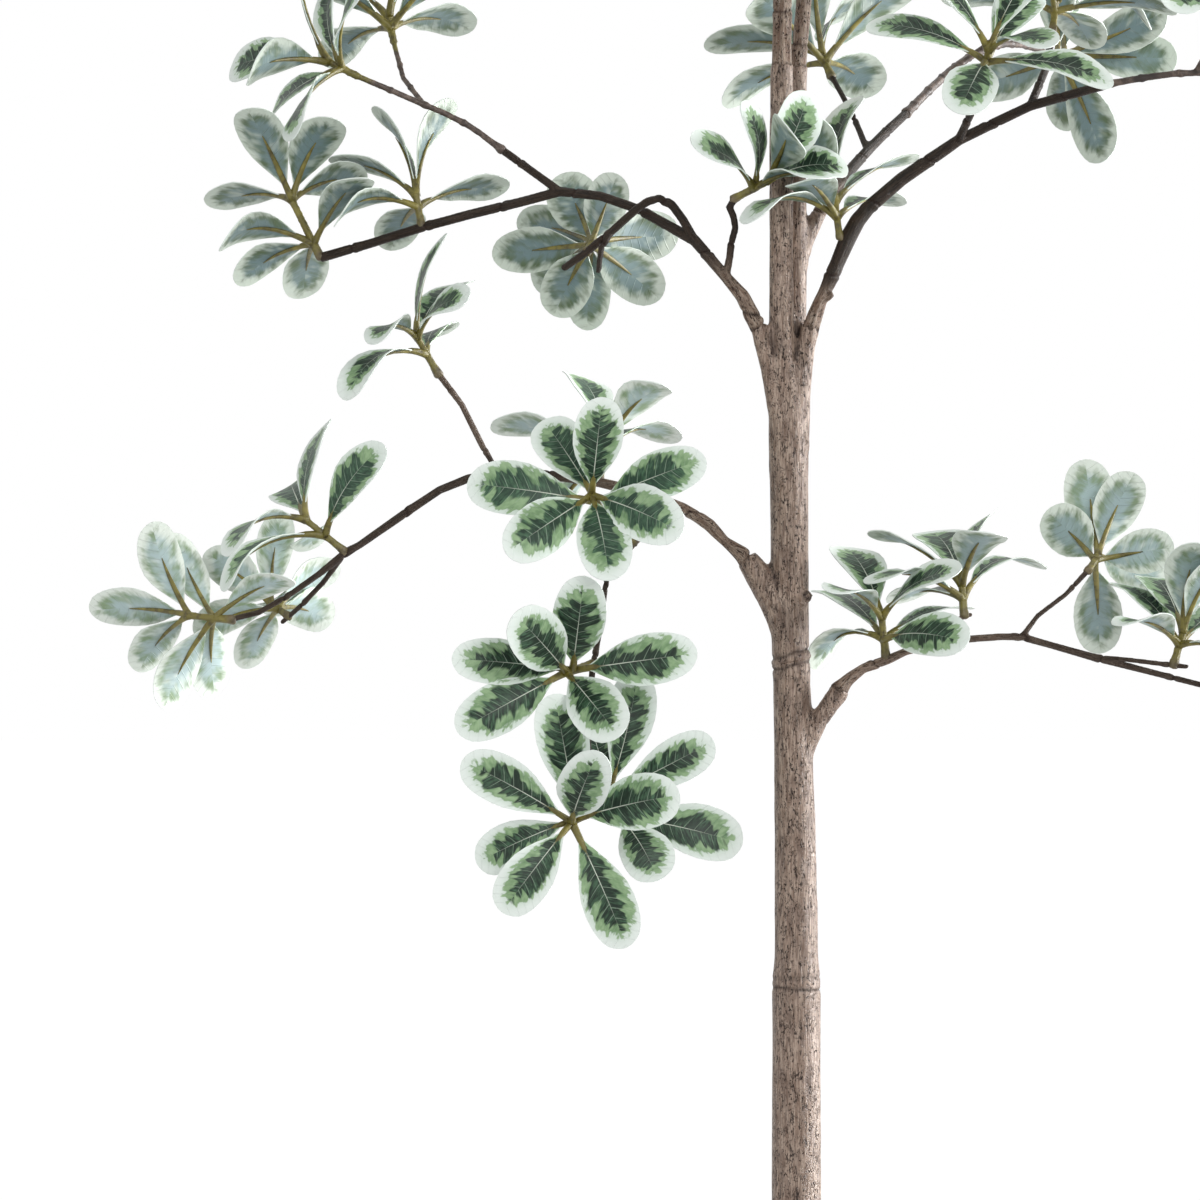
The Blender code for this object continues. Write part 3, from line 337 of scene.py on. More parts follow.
def leaf_grid(tree):
    """Places on a blade in millimetres (across, aside, along, and along the side veins), which half
    it is, and the leaf's own number, heart size and depth of print, which also carries painted light
    and shade."""
    flat = add(tree, "SeparateXYZ", add(tree, "UVMap", uv_map="leaf"))
    across = add(tree, "Math", flat.outputs[0], MAP_WIDTH, -MAP_WIDTH / 2.0, operation="MULTIPLY_ADD")
    along = add(tree, "Math", flat.outputs[1], MAP_LENGTH, operation="MULTIPLY")
    aside = add(tree, "Math", across, operation="ABSOLUTE")
    square = add(tree, "Math", aside, aside, operation="MULTIPLY")
    slant = add(tree, "Math", square, VEIN_BOW, operation="MULTIPLY")
    slant = add(tree, "Math", aside, VEIN_SLANT, slant, operation="MULTIPLY_ADD")
    vein = add(tree, "Math", along, slant, operation="SUBTRACT")
    half = add(tree, "Math", across, operation="SIGN")
    kind = add(tree, "Attribute", attribute_name="leaf_kind").outputs["Vector"]
    return across, aside, along, vein, half, tuple(add(tree, "SeparateXYZ", kind).outputs)


def patch_half_width(tree, along, outline):
    """The half width of a printed patch along the leaf, in millimetres. The outline's points are
    shares of the print's length and half width."""
    share = add(tree, "Math", along, PRINT_LENGTH, operation="DIVIDE")
    curve = add(tree, "FloatCurve", None, share)
    line = curve.mapping.curves[0]
    line.points[0].location = outline[0]
    line.points[1].location = outline[-1]
    for place, width in outline[1:-1]:
        line.points.new(place, width)
    curve.mapping.update()
    return add(tree, "Math", curve, PRINT_HALF_WIDTH, operation="MULTIPLY")


def patch_share(tree, aside, along, reach, straight, taper):
    """How far out a place is in a printed patch: 0 in its middle and 1 at its edge. The patch rounds
    off past straight, over taper."""
    beside = add(tree, "Math", reach, 0.4, operation="MAXIMUM")
    beside = add(tree, "Math", aside, beside, operation="DIVIDE")
    ahead = add(tree, "Math", along, straight, operation="SUBTRACT")
    ahead = add(tree, "Math", ahead, taper, operation="DIVIDE")
    ahead = add(tree, "Math", ahead, 0.0, operation="MAXIMUM")
    squares = [add(tree, "Math", way, way, operation="MULTIPLY") for way in (beside, ahead)]
    return add(tree, "Math", add(tree, "Math", *squares, operation="ADD"), operation="SQRT")


def print_place(tree, vein, across, half, per_vein, per_across):
    """A place for the print's noise: drawn out along the side veins, another on each half."""
    return add(tree, "CombineXYZ", add(tree, "Math", vein, per_vein, operation="MULTIPLY"),
               add(tree, "Math", across, per_across, operation="MULTIPLY"), half)


def print_noises(tree, number, rows):
    """Noises of a leaf's own, for rows of place, shift from the leaf's number, scale, detail and
    roughness."""
    noises = []
    for place, shift, scale, detail, roughness in rows:
        own = add(tree, "Math", number, shift, operation="ADD")
        noises.append(add(tree, "TexNoise", place, own, scale, detail, roughness, noise_dimensions="4D"))
    return noises


def side_vein_lines(tree, vein, half, number, width):
    """1 in the middle of every side vein and 0 from width on, as a share of the gap between them."""
    shift = add(tree, "Math", number, 0.37, operation="MULTIPLY")
    shift = add(tree, "Math", half, 0.17, shift, operation="MULTIPLY_ADD")
    wave = add(tree, "Math", vein, VEIN_GAP, operation="DIVIDE")
    wave = add(tree, "Math", add(tree, "Math", wave, shift, operation="ADD"), operation="FRACT")
    off = add(tree, "Math", wave, 0.5, operation="SUBTRACT")
    off = add(tree, "Math", off, operation="ABSOLUTE")
    return add(tree, "MapRange", off, 0.0, width, 1.0, 0.0, **SMOOTH)


def printed_leaf_face(settings):
    """Printed satin fabric dipped in soft plastic: a dull green heart that runs out along the side
    veins, light green flecks and a broad pale margin, with a low sheen."""
    mat, tree = new_material("printed_leaf_upper")
    across, aside, along, vein, half, (number, size, depth) = leaf_grid(tree)
    reach = patch_half_width(tree, along, [
        (0.0, 0.04), (0.15, 0.08), (0.28, 0.32), (0.42, 0.52), (0.56, 0.65), (0.7, 0.69),
        (0.8, 0.66), (0.9, 0.6), (1.0, 0.5)])
    reach = add(tree, "Math", reach, size, operation="MULTIPLY")
    share = patch_share(tree, aside, along, reach, 50.0, 15.0)

    # Lobes follow the side veins, 3 to 6 mm wide, with finer teeth on them.
    lobe_place = print_place(tree, vein, across, half, 0.18, 0.06)
    tooth_place = print_place(tree, vein, across, half, 0.25, 0.22)
    lobes, teeth, streaks, clouds = print_noises(tree, number, (
        (lobe_place, 0.0, 1.0, 1.8, 0.5), (tooth_place, 40.0, 1.0, 2.4, 0.5),
        (lobe_place, 9.0, 4.2, 2.5, 0.6), (tooth_place, 71.0, 0.5, 1.5, 0.5)))

    # How far out the heart and the flecks round it run.
    dark_edge = add(tree, "MapRange", lobes, 0.32, 0.66, 0.32, 1.02, **SMOOTH)
    change = add(tree, "Math", streaks, 0.5, operation="SUBTRACT")
    dark_edge = add(tree, "Math", change, 0.12, dark_edge, operation="MULTIPLY_ADD")
    dark = add(tree, "Math", dark_edge, share, operation="SUBTRACT")
    dark = add(tree, "MapRange", dark, -0.11, 0.1, **SMOOTH)
    light_edge = add(tree, "MapRange", teeth, 0.3, 0.7, 0.86, 1.26, **SMOOTH)
    change = add(tree, "Math", lobes, 0.5, operation="SUBTRACT")
    light_edge = add(tree, "Math", change, -0.25, light_edge, operation="MULTIPLY_ADD")
    light = add(tree, "Math", light_edge, share, operation="SUBTRACT")
    light = add(tree, "MapRange", light, -0.1, 0.07, **SMOOTH)

    # Lighter streaks in the heart, most on faintly printed leaves, which include those with painted light.
    lights = add(tree, "MapRange", streaks, 0.36, 0.72, **SMOOTH)
    faint = add(tree, "Math", depth, -0.5, 1.0, operation="MULTIPLY_ADD")
    lights = add(tree, "Math", lights, faint, operation="MULTIPLY")
    clouded = add(tree, "MapRange", clouds, 0.34, 0.6, 0.15, 1.0, **SMOOTH)
    lights = add(tree, "Math", lights, clouded, operation="MULTIPLY")
    # The faint heart is also painted light on the leaves of the low left limb.
    heart, fleck, margin = [
        add(tree, "Mix", add(tree, "MapRange", value, low, high, **SMOOTH), linear(first), linear(second),
            data_type="RGBA")
        for value, low, high, first, second in (
            (depth, 0.1, 0.4, settings.heart_faint_and_lit, settings.heart),
            (teeth, 0.3, 0.7, settings.fleck, settings.fleck_light),
            (share, 0.9, 1.5, settings.margin_shade, settings.margin))]
    heart = add(tree, "Mix", lights, heart, linear(settings.heart_light), data_type="RGBA")
    colour = add(tree, "Mix", light, margin, fleck, data_type="RGBA")
    colour = add(tree, "Mix", dark, colour, heart, data_type="RGBA")

    # The side veins are pale lines that fade towards the margin.
    line = side_vein_lines(tree, vein, half, number, 0.06)
    fade = add(tree, "MapRange", share, 0.35, 1.1, 0.55, 0.0, **SMOOTH)
    shown = add(tree, "Math", line, fade, operation="MULTIPLY")
    colour = add(tree, "Mix", shown, colour, linear(settings.vein), data_type="RGBA")

    # The midrib is a fine pale line that thins out towards the tip.
    rib = add(tree, "Math", along, -0.004, 0.3, operation="MULTIPLY_ADD")
    rib = add(tree, "Math", rib, aside, operation="SUBTRACT")
    rib = add(tree, "MapRange", rib, -0.2, 0.1, **SMOOTH)
    fade = add(tree, "MapRange", along, 30.0, 66.0, 0.85, 0.0, **SMOOTH)
    rib = add(tree, "Math", rib, fade, operation="MULTIPLY")
    colour = add(tree, "Mix", rib, colour, linear(settings.midrib), data_type="RGBA")

    height = add(tree, "Math", line, -0.6, operation="MULTIPLY")
    height = add(tree, "Math", rib, -1.0, height, operation="MULTIPLY_ADD")
    height = add(tree, "Math", streaks, 0.5, height, operation="MULTIPLY_ADD")
    set_shader(tree, {"Base Color": colour, "Roughness": 0.45, "IOR": 1.46, "Specular IOR Level": 0.35,
                      "Normal": add(tree, "Bump", None, 0.22 * MM, None, height)})
    return mat


def printed_leaf_back(settings):
    """The back of the same fabric: the print shows through as a soft clouded patch, blue-grey with
    green towards its edge."""
    mat, tree = new_material("printed_leaf_under")
    across, aside, along, vein, half, (number, _, depth) = leaf_grid(tree)
    reach = patch_half_width(tree, along, [
        (0.0, 0.04), (0.15, 0.12), (0.28, 0.42), (0.42, 0.64), (0.56, 0.75), (0.7, 0.79),
        (0.8, 0.77), (0.9, 0.68), (1.0, 0.55)])
    share = patch_share(tree, aside, along, reach, 51.0, 17.5)
    place = print_place(tree, vein, across, half, 0.12, 0.1)
    cloud, haze, fine = print_noises(tree, number, (
        (place, 0.0, 1.0, 2.5, 0.6), (place, 33.0, 0.8, 2.0, 0.5), (place, 21.0, 3.2, 3.0, 0.6)))
    edge = add(tree, "MapRange", cloud, 0.3, 0.7, 0.72, 1.12, **SMOOTH)
    edge = add(tree, "Math", edge, share, operation="SUBTRACT")
    change = add(tree, "Math", fine, 0.5, operation="SUBTRACT")
    edge = add(tree, "Math", change, 0.2, edge, operation="MULTIPLY_ADD")
    patch = add(tree, "MapRange", edge, -0.24, 0.28, **SMOOTH)

    # The middle is blue-grey with pale clouds, and green shows towards the edge of the patch.
    outward = add(tree, "Math", share, 0.8, operation="MULTIPLY")
    change = add(tree, "Math", cloud, 0.5, operation="SUBTRACT")
    green = add(tree, "Math", change, 2.2, outward, operation="MULTIPLY_ADD")
    green = add(tree, "MapRange", green, 0.1, 0.95, **SMOOTH)
    # Faint and deep colours: by where a leaf grows they are also painted light on the low left limb and
    # painted shade at the top.
    inner, outer, band = [
        add(tree, "Mix", depth, linear(faint), linear(deep), data_type="RGBA")
        for faint, deep in ((settings.back_faint_and_lit, settings.back),
                            (settings.back_green_faint_and_lit, settings.back_green),
                            (settings.back_margin, settings.back_margin_deep_and_shaded))]
    middle = add(tree, "Mix", green, inner, outer, data_type="RGBA")
    hazy = add(tree, "MapRange", haze, 0.52, 0.72, 0.0, 0.55, **SMOOTH)
    middle = add(tree, "Mix", hazy, middle, band, data_type="RGBA")
    colour = add(tree, "Mix", patch, band, middle, data_type="RGBA")
    line = side_vein_lines(tree, vein, half, number, 0.07)
    shown = add(tree, "Math", line, 0.1, operation="MULTIPLY")
    colour = add(tree, "Mix", shown, colour, band, data_type="RGBA")
    height = add(tree, "Math", line, cloud, operation="ADD")
    set_shader(tree, {"Base Color": colour, "Roughness": 0.55, "IOR": 1.46,
                      "Normal": add(tree, "Bump", None, 0.18 * MM, None, height)})
    return mat


def moulded_stem(settings):
    """Moulded polyethylene painted by hand: olive on a rosette's stem and petioles, with a brown
    wash in the hollows, and dark grey-brown with light scuffs on the twig below."""
    mat, tree = new_material("painted_stem")
    place = add(tree, "TexCoord").outputs["Object"]
    olive = add(tree, "Attribute", attribute_name="olive").outputs["Fac"]
    wash = add(tree, "TexNoise", place, STEM_WASH, 3.0, 0.6)
    patches = add(tree, "TexNoise", place, STEM_PATCHES)
    washed = add(tree, "MapRange", wash, 0.3, 0.56, **SMOOTH)
    young = add(tree, "Mix", washed, linear(settings.olive_dark), linear(settings.olive), data_type="RGBA")
    lit = add(tree, "MapRange", patches, 0.5, 0.72, **SMOOTH)
    young = add(tree, "Mix", lit, young, linear(settings.olive_light), data_type="RGBA")
    scuffed = add(tree, "MapRange", wash, 0.4, 0.7, **SMOOTH)
    old = add(tree, "Mix", scuffed, linear(settings.twig), linear(settings.twig_light), data_type="RGBA")
    shaded = add(tree, "MapRange", patches, 0.52, 0.7, **SMOOTH)
    old = add(tree, "Mix", shaded, old, linear(settings.twig_dark), data_type="RGBA")
    set_shader(tree, {"Base Color": add(tree, "Mix", olive, old, young, data_type="RGBA"),
                      "Roughness": 0.48, "Normal": add(tree, "Bump", None, 0.4 * MM, None, wash)})
    return mat


def painted_bark(name, settings, grain, worn=None):
    """Rigid foam bark, moulded and dry-brushed: warm taupe with soft streaks along the wood, dark
    red-brown pits and short cracks that a wash has settled in, pale specks of painted highlight, and
    painted shade in its creases. grain is the width of one streak in millimetres. worn is the light,
    middle and dark brown that the wood turns away from the trunk."""
    mat, tree = new_material(name)
    around = add(tree, "Attribute", attribute_name="around").outputs["Vector"]
    along = add(tree, "Attribute", attribute_name="along").outputs["Fac"]
    wash_and_crease_shade = add(tree, "Attribute", attribute_name="wash_and_crease_shade").outputs["Fac"]
    grains = 1.0 / (grain * MM)

    def pattern(width, length, detail, roughness, shift):
        """Noise whose features are width by length grains in size."""
        place = add(tree, "VectorMath", around, grains / width, operation="SCALE")
        level = add(tree, "Math", along, grains / length, shift, operation="MULTIPLY_ADD")
        return add(tree, "TexNoise", place, level, 1.0, detail, roughness, noise_dimensions="4D")

    def cracks(noise, narrow, wide, broken, low, high):
        """Lines where a noise crosses its middle, kept only where another is over low to high."""
        off = add(tree, "Math", noise, 0.5, operation="SUBTRACT")
        line = add(tree, "Math", off, operation="ABSOLUTE")
        line = add(tree, "MapRange", line, narrow, wide, 1.0, 0.0, **SMOOTH)
        kept = add(tree, "MapRange", broken, low, high, **SMOOTH)
        return add(tree, "Math", line, kept, operation="MULTIPLY")

    streaks = pattern(1.6, 18.0, 3.0, 0.65, 0.0)
    broad = pattern(7.0, 24.0, 2.0, 0.5, 31.0)
    dense = add(tree, "MapRange", pattern(4.0, 10.0, 2.0, 0.55, 11.0), 0.4, 0.6, **SMOOTH)
    pit = add(tree, "Math", dense, 0.1, pattern(1.3, 3.0, 1.5, 0.5, 57.0), operation="MULTIPLY_ADD")
    pit = add(tree, "MapRange", pit, 0.67, 0.72, **SMOOTH)
    lengthwise = cracks(pattern(2.4, 20.0, 2.0, 0.55, 83.0), 0.008, 0.034,
                        pattern(3.0, 7.0, 1.0, 0.5, 7.0), 0.46, 0.54)
    crosswise = cracks(pattern(5.0, 3.0, 2.5, 0.6, 131.0), 0.005, 0.022,
                       pattern(3.0, 3.0, 1.0, 0.5, 171.0), 0.5, 0.57)
    line = add(tree, "Math", lengthwise, crosswise, operation="MAXIMUM")
    crowded = add(tree, "Math", dense, 0.75, 0.25, operation="MULTIPLY_ADD")
    line = add(tree, "Math", line, crowded, operation="MULTIPLY")
    # Pale specks: painted highlights, as of a wet gloss on the bark.
    painted_glint = add(tree, "MapRange", pattern(1.2, 1.6, 1.0, 0.5, 211.0), 0.68, 0.73, **SMOOTH)

    light, middle, dark = linear(settings.bark_light), linear(settings.bark), linear(settings.bark_dark)
    if worn is not None:
        aged = add(tree, "Attribute", attribute_name="aged").outputs["Fac"]
        fresh = add(tree, "Attribute", attribute_name="fresh").outputs["Fac"]
        line, pit, painted_glint = [
            add(tree, "Math", mark, fresh, operation="MULTIPLY") for mark in (line, pit, painted_glint)]
        light, middle, dark = [
            add(tree, "Mix", aged, tone, linear(old), data_type="RGBA")
            for tone, old in zip((linear(settings.limb_pale), middle, dark), worn)]
    brushed = add(tree, "MapRange", streaks, 0.36, 0.64, **SMOOTH)
    colour = add(tree, "Mix", brushed, middle, light, data_type="RGBA")
    crack_and_crease_shade = linear(settings.crack_and_crease_shade)
    # The crack colour is the dark wash in cracks, pits, rings and joints, and also painted shade in the
    # creases.
    for share, tone in (
            (add(tree, "MapRange", broad, 0.45, 0.65, 0.0, 0.5, **SMOOTH), dark),
            (add(tree, "MapRange", streaks, 0.24, 0.36, 0.8, 0.0, **SMOOTH), dark),
            (add(tree, "Math", painted_glint, 0.5, operation="MULTIPLY"), linear(settings.bark_painted_glint)),
            (add(tree, "Math", line, 0.95, operation="MULTIPLY"), crack_and_crease_shade),
            (add(tree, "Math", pit, 0.9, operation="MULTIPLY"), crack_and_crease_shade), (wash_and_crease_shade, crack_and_crease_shade)):
        colour = add(tree, "Mix", share, colour, tone, data_type="RGBA")

    wash = add(tree, "Math", add(tree, "Math", line, pit, operation="MAXIMUM"), wash_and_crease_shade, operation="MAXIMUM")
    sheen = add(tree, "MapRange", streaks, 0.3, 0.7, 0.5, 0.36, **SMOOTH)
    height = add(tree, "Math", streaks, 0.8, operation="MULTIPLY")
    for mark, rise in ((line, -0.8), (pit, -0.8), (painted_glint, 0.4)):
        height = add(tree, "Math", mark, rise, height, operation="MULTIPLY_ADD")
    set_shader(tree, {"Base Color": colour, "Specular IOR Level": 0.5 if worn is None else 0.24,
                      "Roughness": add(tree, "Math", wash, 0.45, sheen, operation="MULTIPLY_ADD"),
                      "Normal": add(tree, "Bump", None, 0.7 * MM, None, height)})
    return mat


# ---------------------------------------------------------------- reading the leaves' places

def neighbours(vert):
    """The vertices that share an edge with one."""
    return [edge.other_vert(vert) for edge in vert.link_edges]


def tip_rings(bm):
    """The four corners of every leaf's tip, in order round it: two thin sides far apart."""
    thin = [edge for edge in bm.edges if TIP_SIDE[0] < edge.calc_length() < TIP_SIDE[1]]
    thin_at = {}
    for edge in thin:
        for vert in edge.verts:
            thin_at.setdefault(vert, []).append(edge)
    rings = {}
    for edge in thin:
        first, second = edge.verts
        for third in neighbours(first):
            if third is second or (third.co - first.co).length < TIP_ACROSS:
                continue
            for other in thin_at.get(third, []):
                fourth = other.other_vert(third)
                if fourth in neighbours(second):
                    key = tuple(sorted(vert.index for vert in (first, second, third, fourth)))
                    rings.setdefault(key, [first, second, fourth, third])
    return list(rings.values())


def leaf_rings(tip):
    """A leaf's rings of four corners, from its tip back to the ring on the stem."""
    rings = [tip]
    done = set(tip)
    while len(rings) < 5:
        back = {near for vert in rings[-1] for near in neighbours(vert)} - done
        rings.append(sorted(back, key=lambda vert: vert.index))
        if max((a.co - b.co).length for a in back for b in back) < STEM_ACROSS:
            break
        done.update(back)
    return rings


def section(ring, towards):
    """A blade section's centre, the way its upper side looks and its half width."""
    points = [vert.co for vert in ring]
    centre = sum(points, Vector()) / 4.0
    far = max(((a, b) for a in points for b in points), key=lambda pair: (pair[0] - pair[1]).length)
    across = (far[1] - far[0]).normalized()
    rough = across.cross(towards).normalized()
    upper = [point for point in points if (point - centre).dot(rough) > 0.0]
    lower = [point for point in points if (point - centre).dot(rough) <= 0.0]
    if len(upper) != 2:
        raise ValueError("a blade section has no clear upper side")
    wide = (lower[0] - lower[1]).length
    narrow = (upper[0] - upper[1]).length
    up = rough if narrow < wide else -rough
    return centre, up, max(wide, narrow) / 2.0


def leaf_places(mesh):
    """Every leaf of a CAD mesh: its curve's three coefficients, its upper side's way, its half
    width and where it leaves the stem; and the vertices the blades hold."""
    bm = bmesh.new()
    bm.from_mesh(mesh)
    bm.verts.index_update()
    leaves = []
    held = set()
    for tip in tip_rings(bm):
        rings = leaf_rings(tip)
        root = rings.pop()
        start = sum((vert.co for vert in root), Vector()) / 4.0
        towards = (sum((vert.co for vert in tip), Vector()) / 4.0 - start).normalized()
        sections = [section(ring, towards) for ring in reversed(rings)]
        centres = [place for place, _, _ in sections]
        if len(sections) == 2:
            centres.insert(0, start)
        rows = numpy.vander(SECTION_SHARES[len(sections)], 3, increasing=True)
        leaves.append({
            "curve": [Vector(row) for row in numpy.linalg.solve(rows, numpy.array(centres))],
            "up": sum((up for _, up, _ in sections), Vector()).normalized(),
            "half_width": max(width for _, _, width in sections),
            "start": start,
        })
        held.update(vert.index for ring in rings for vert in ring)
    bm.free()
    return leaves, held


def leaf_point(leaf, share):
    """A place on a leaf's middle line and its direction there."""
    first, second, third = leaf["curve"]
    return first + second * share + third * share * share, (second + third * 2.0 * share).normalized()


# ---------------------------------------------------------------- leaves

def blade_edge(share):
    """The margin beside one row of a blade: its half width and its place along, as shares."""
    if share <= BROADEST_ROW:
        row = share / BROADEST_ROW
        half_width = 0.1 + 0.9 * math.sin(math.pi / 2.0 * row) ** 1.15
        return half_width, BLADE_FOOT + (BROADEST - BLADE_FOOT) * row
    row = (share - BROADEST_ROW) / (1.0 - BROADEST_ROW)
    angle = math.radians(90.0 - (90.0 - SHOULDER) * row)
    half_width = math.sin(angle) ** 0.86
    return half_width, BROADEST + (1.0 - BROADEST) * max(math.cos(angle), 0.0) ** 0.86


def model_blade(settings):
    """One flat-lying blade along +Y, its upper side up: shaped grid, thickness and maps. Upper side and
    edge take the first material, the back the second, and on the bake map they lie side by side."""
    bpy.ops.object.select_all(action="DESELECT")
    bpy.ops.mesh.primitive_grid_add(x_subdivisions=6, y_subdivisions=9, size=1.0)
    blade = bpy.context.active_object
    length = settings.length
    for vert in blade.data.vertices:
        side = vert.co.x * 2.0
        share = vert.co.y + 0.5
        edge_x, edge_y = blade_edge(share)
        middle_y = BLADE_FOOT + (1.0 - BLADE_FOOT) * share
        vert.co.x = settings.width / 2.0 * edge_x * side
        vert.co.y = length * (edge_y + (middle_y - edge_y) * (1.0 - side * side))
        vert.co.z = 0.0
    select_only(blade)
    solid = blade.modifiers.new("thickness", "SOLIDIFY")
    solid.thickness = settings.thickness
    solid.offset = 0.0
    apply_modifiers(blade)
    mesh = blade.data
    flat = mesh.uv_layers.new(name="leaf")
    bake = mesh.uv_layers.new(name="OFBake")
    for face in mesh.polygons:
        face.material_index = 1 if face.normal.z < -0.5 else 0
        inward = 0.96 if abs(face.normal.z) < 0.5 else 1.0
        for corner in face.loop_indices:
            place = mesh.vertices[mesh.loops[corner].vertex_index].co
            flat.data[corner].uv = (place.x / (MAP_WIDTH * MM) + 0.5, place.y / (MAP_LENGTH * MM))
            across = place.x * inward / settings.width * 0.9 + 0.5
            up = place.y / length * 0.95
            bake.data[corner].uv = ((across + face.material_index) / 2.0, up)
    select_only(blade)
    bpy.ops.object.shade_smooth_by_angle(angle=math.radians(50.0))
    return blade


def model_petiole(settings):
    """One petiole that runs on as the rib under the blade, along +Y: a ring drawn out and tapered."""
    bpy.ops.object.select_all(action="DESELECT")
    bpy.ops.mesh.primitive_circle_add(vertices=8, radius=settings.petiole, fill_type="NGON",
                                      rotation=(math.pi / 2.0, 0.0, 0.0))
    rib = bpy.context.active_object
    settle(rib)
    select_only(rib)
    bpy.ops.object.mode_set(mode="EDIT")
    bpy.ops.mesh.select_all(action="SELECT")
    # How far the ring is drawn on each time, in millimetres, and how much it narrows.
    for forward, scale in ((3.0, 0.86), (3.5, 0.9), (4.0, 0.95), (6.0, 0.93),
                           (8.0, 0.88), (9.0, 0.8), (8.0, 0.6), (6.0, 0.35)):
        bpy.ops.mesh.extrude_region_move(TRANSFORM_OT_translate={"value": (0.0, forward * MM, 0.0)})
        bpy.ops.transform.resize(value=(scale, 1.0, scale), center_override=(0.0, 0.0, 0.0))
    bpy.ops.mesh.select_all(action="SELECT")
    bpy.ops.mesh.normals_make_consistent(inside=False)
    bpy.ops.object.mode_set(mode="OBJECT")
    # Where the blade starts, the rib flattens and runs on under it.
    for vert in rib.data.vertices:
        under = step_between(numpy.array([vert.co.y / settings.length]), 0.1, 0.24)[0]
        vert.co.z = vert.co.z * (1.0 - 0.35 * under) - under * 0.75 * MM
    rib.data.shade_smooth()
    return rib


def grown_copy(model, leaf, nature, settings):
    """A copy of a modelled leaf part, bent onto one leaf's place; nature holds its small differences."""
    piece = bpy.data.objects.new(model.name, model.data.copy())
    bpy.context.scene.collection.objects.link(piece)
    mesh = piece.data
    scale = leaf["half_width"] / USUAL_HALF_WIDTH * nature["broad"]
    for vert in mesh.vertices:
        share = vert.co.y / settings.length
        place, forward = leaf_point(leaf, share)
        up = (leaf["up"] - forward * leaf["up"].dot(forward)).normalized()
        across = up.cross(forward) * -1.0
        side = vert.co.x / (settings.width / 2.0)
        blade = min(max((share - BLADE_FOOT) / (1.0 - BLADE_FOOT), 0.0), 1.0)
        lift = nature["cup"] * abs(side) ** 1.5 * math.sin(math.pi * min(blade * 0.8 + 0.1, 1.0))
        lift += nature["droop"] * side * side * blade * blade
        wave = math.sin(blade * nature["waves"] + nature["phase"] + (1.3 if side > 0.0 else 0.0))
        lift += nature["ripple"] * side * side * wave * math.sin(math.pi * blade)
        lift += nature["roll"] * side * blade
        lift -= nature["nod"] * max(blade - 0.6, 0.0) ** 2 * 6.0
        wide = vert.co.x * scale * (1.0 + nature["shoulder"] * (blade - 0.5))
        vert.co = place + across * (wide + nature["sway"] * blade * blade) + up * (vert.co.z + lift)
    kind = numpy.empty((len(mesh.vertices), 3))
    kind[:] = (nature["number"], nature["heart"], print_and_shade_depth(leaf["start"], nature["depth"]))
    store(mesh, "leaf_kind", kind)
    return piece


def print_and_shade_depth(place, change):
    """How deeply a leaf is printed, by where it leaves the stem and its own change. Where it leaves
    the stem also sets painted light and shade: shade high up, light on the low left limb.
    """
    depth = USUAL_PRINT
    for left, right, bottom, top, shown in LIGHT_AND_SHADE_REGIONS:
        if left < place.x < right and bottom < place.z < top:
            depth = shown
    return min(max(depth + change, 0.0), 1.0)


def leaf_nature(chance):
    """One leaf's small differences from the modelled one."""
    return {
        "broad": chance.uniform(0.86, 1.05),
        "cup": chance.uniform(0.4, 3.8) * MM,
        "droop": chance.uniform(-2.2, 0.6) * MM,
        "ripple": chance.uniform(0.2, 1.1) * MM,
        "waves": chance.uniform(7.0, 12.0),
        "phase": chance.uniform(0.0, 6.28),
        "roll": chance.uniform(-3.0, 3.0) * MM,
        "nod": chance.uniform(-0.3, 1.2) * MM,
        "sway": chance.uniform(-2.6, 2.6) * MM,
        "shoulder": chance.uniform(-0.16, 0.08),
        "number": chance.uniform(0.0, 60.0),
        "heart": chance.uniform(0.84, 1.14),
        "depth": chance.uniform(-0.16, 0.16),
    }


def joined(pieces):
    """Several objects joined to one."""
    bpy.ops.object.select_all(action="DESELECT")
    for piece in pieces:
        piece.select_set(True)
    bpy.context.view_layer.objects.active = pieces[0]
    if len(pieces) > 1:
        bpy.ops.object.join()
    return bpy.context.view_layer.objects.active


def spread_bake_cells(mesh, count):
    """Give each leaf its own cell of the bake map."""
    columns = math.ceil(math.sqrt(count))
    rows = math.ceil(count / columns)
    bake = mesh.uv_layers["OFBake"].data
    share = len(bake) // count
    for number in range(count):
        column = number % columns
        row = number // columns
        for corner in range(number * share, (number + 1) * share):
            u, v = bake[corner].uv * (1.0 - 2.0 * CELL_EDGE)
            bake[corner].uv = ((column + u + CELL_EDGE) / columns, (row + v + CELL_EDGE) / rows)


# ---------------------------------------------------------------- stems, twigs and bark

def without_blades(obj, held):
    """Take the leaves off a CAD copy and close the holes they leave."""
    select_only(obj)
    bpy.ops.object.mode_set(mode="EDIT")
    bpy.ops.mesh.select_mode(type="VERT")
    bpy.ops.mesh.select_all(action="DESELECT")
    bpy.ops.object.mode_set(mode="OBJECT")
    for vert in obj.data.vertices:
        vert.select = vert.index in held
    bpy.ops.object.mode_set(mode="EDIT")
    bpy.ops.mesh.delete(type="VERT")
    bpy.ops.mesh.select_all(action="SELECT")
    bpy.ops.mesh.fill_holes(sides=0)
    bpy.ops.mesh.normals_make_consistent(inside=False)
    bpy.ops.object.mode_set(mode="OBJECT")


def lengthen(obj, low, high, reach):
    """Draw a trunk section's ends on past its joints, into its neighbours."""
    for vert in obj.data.vertices:
        if vert.co.z > high - 0.2 * MM:
            vert.co.z += reach
        if vert.co.z < low + 0.2 * MM:
            vert.co.z -= reach


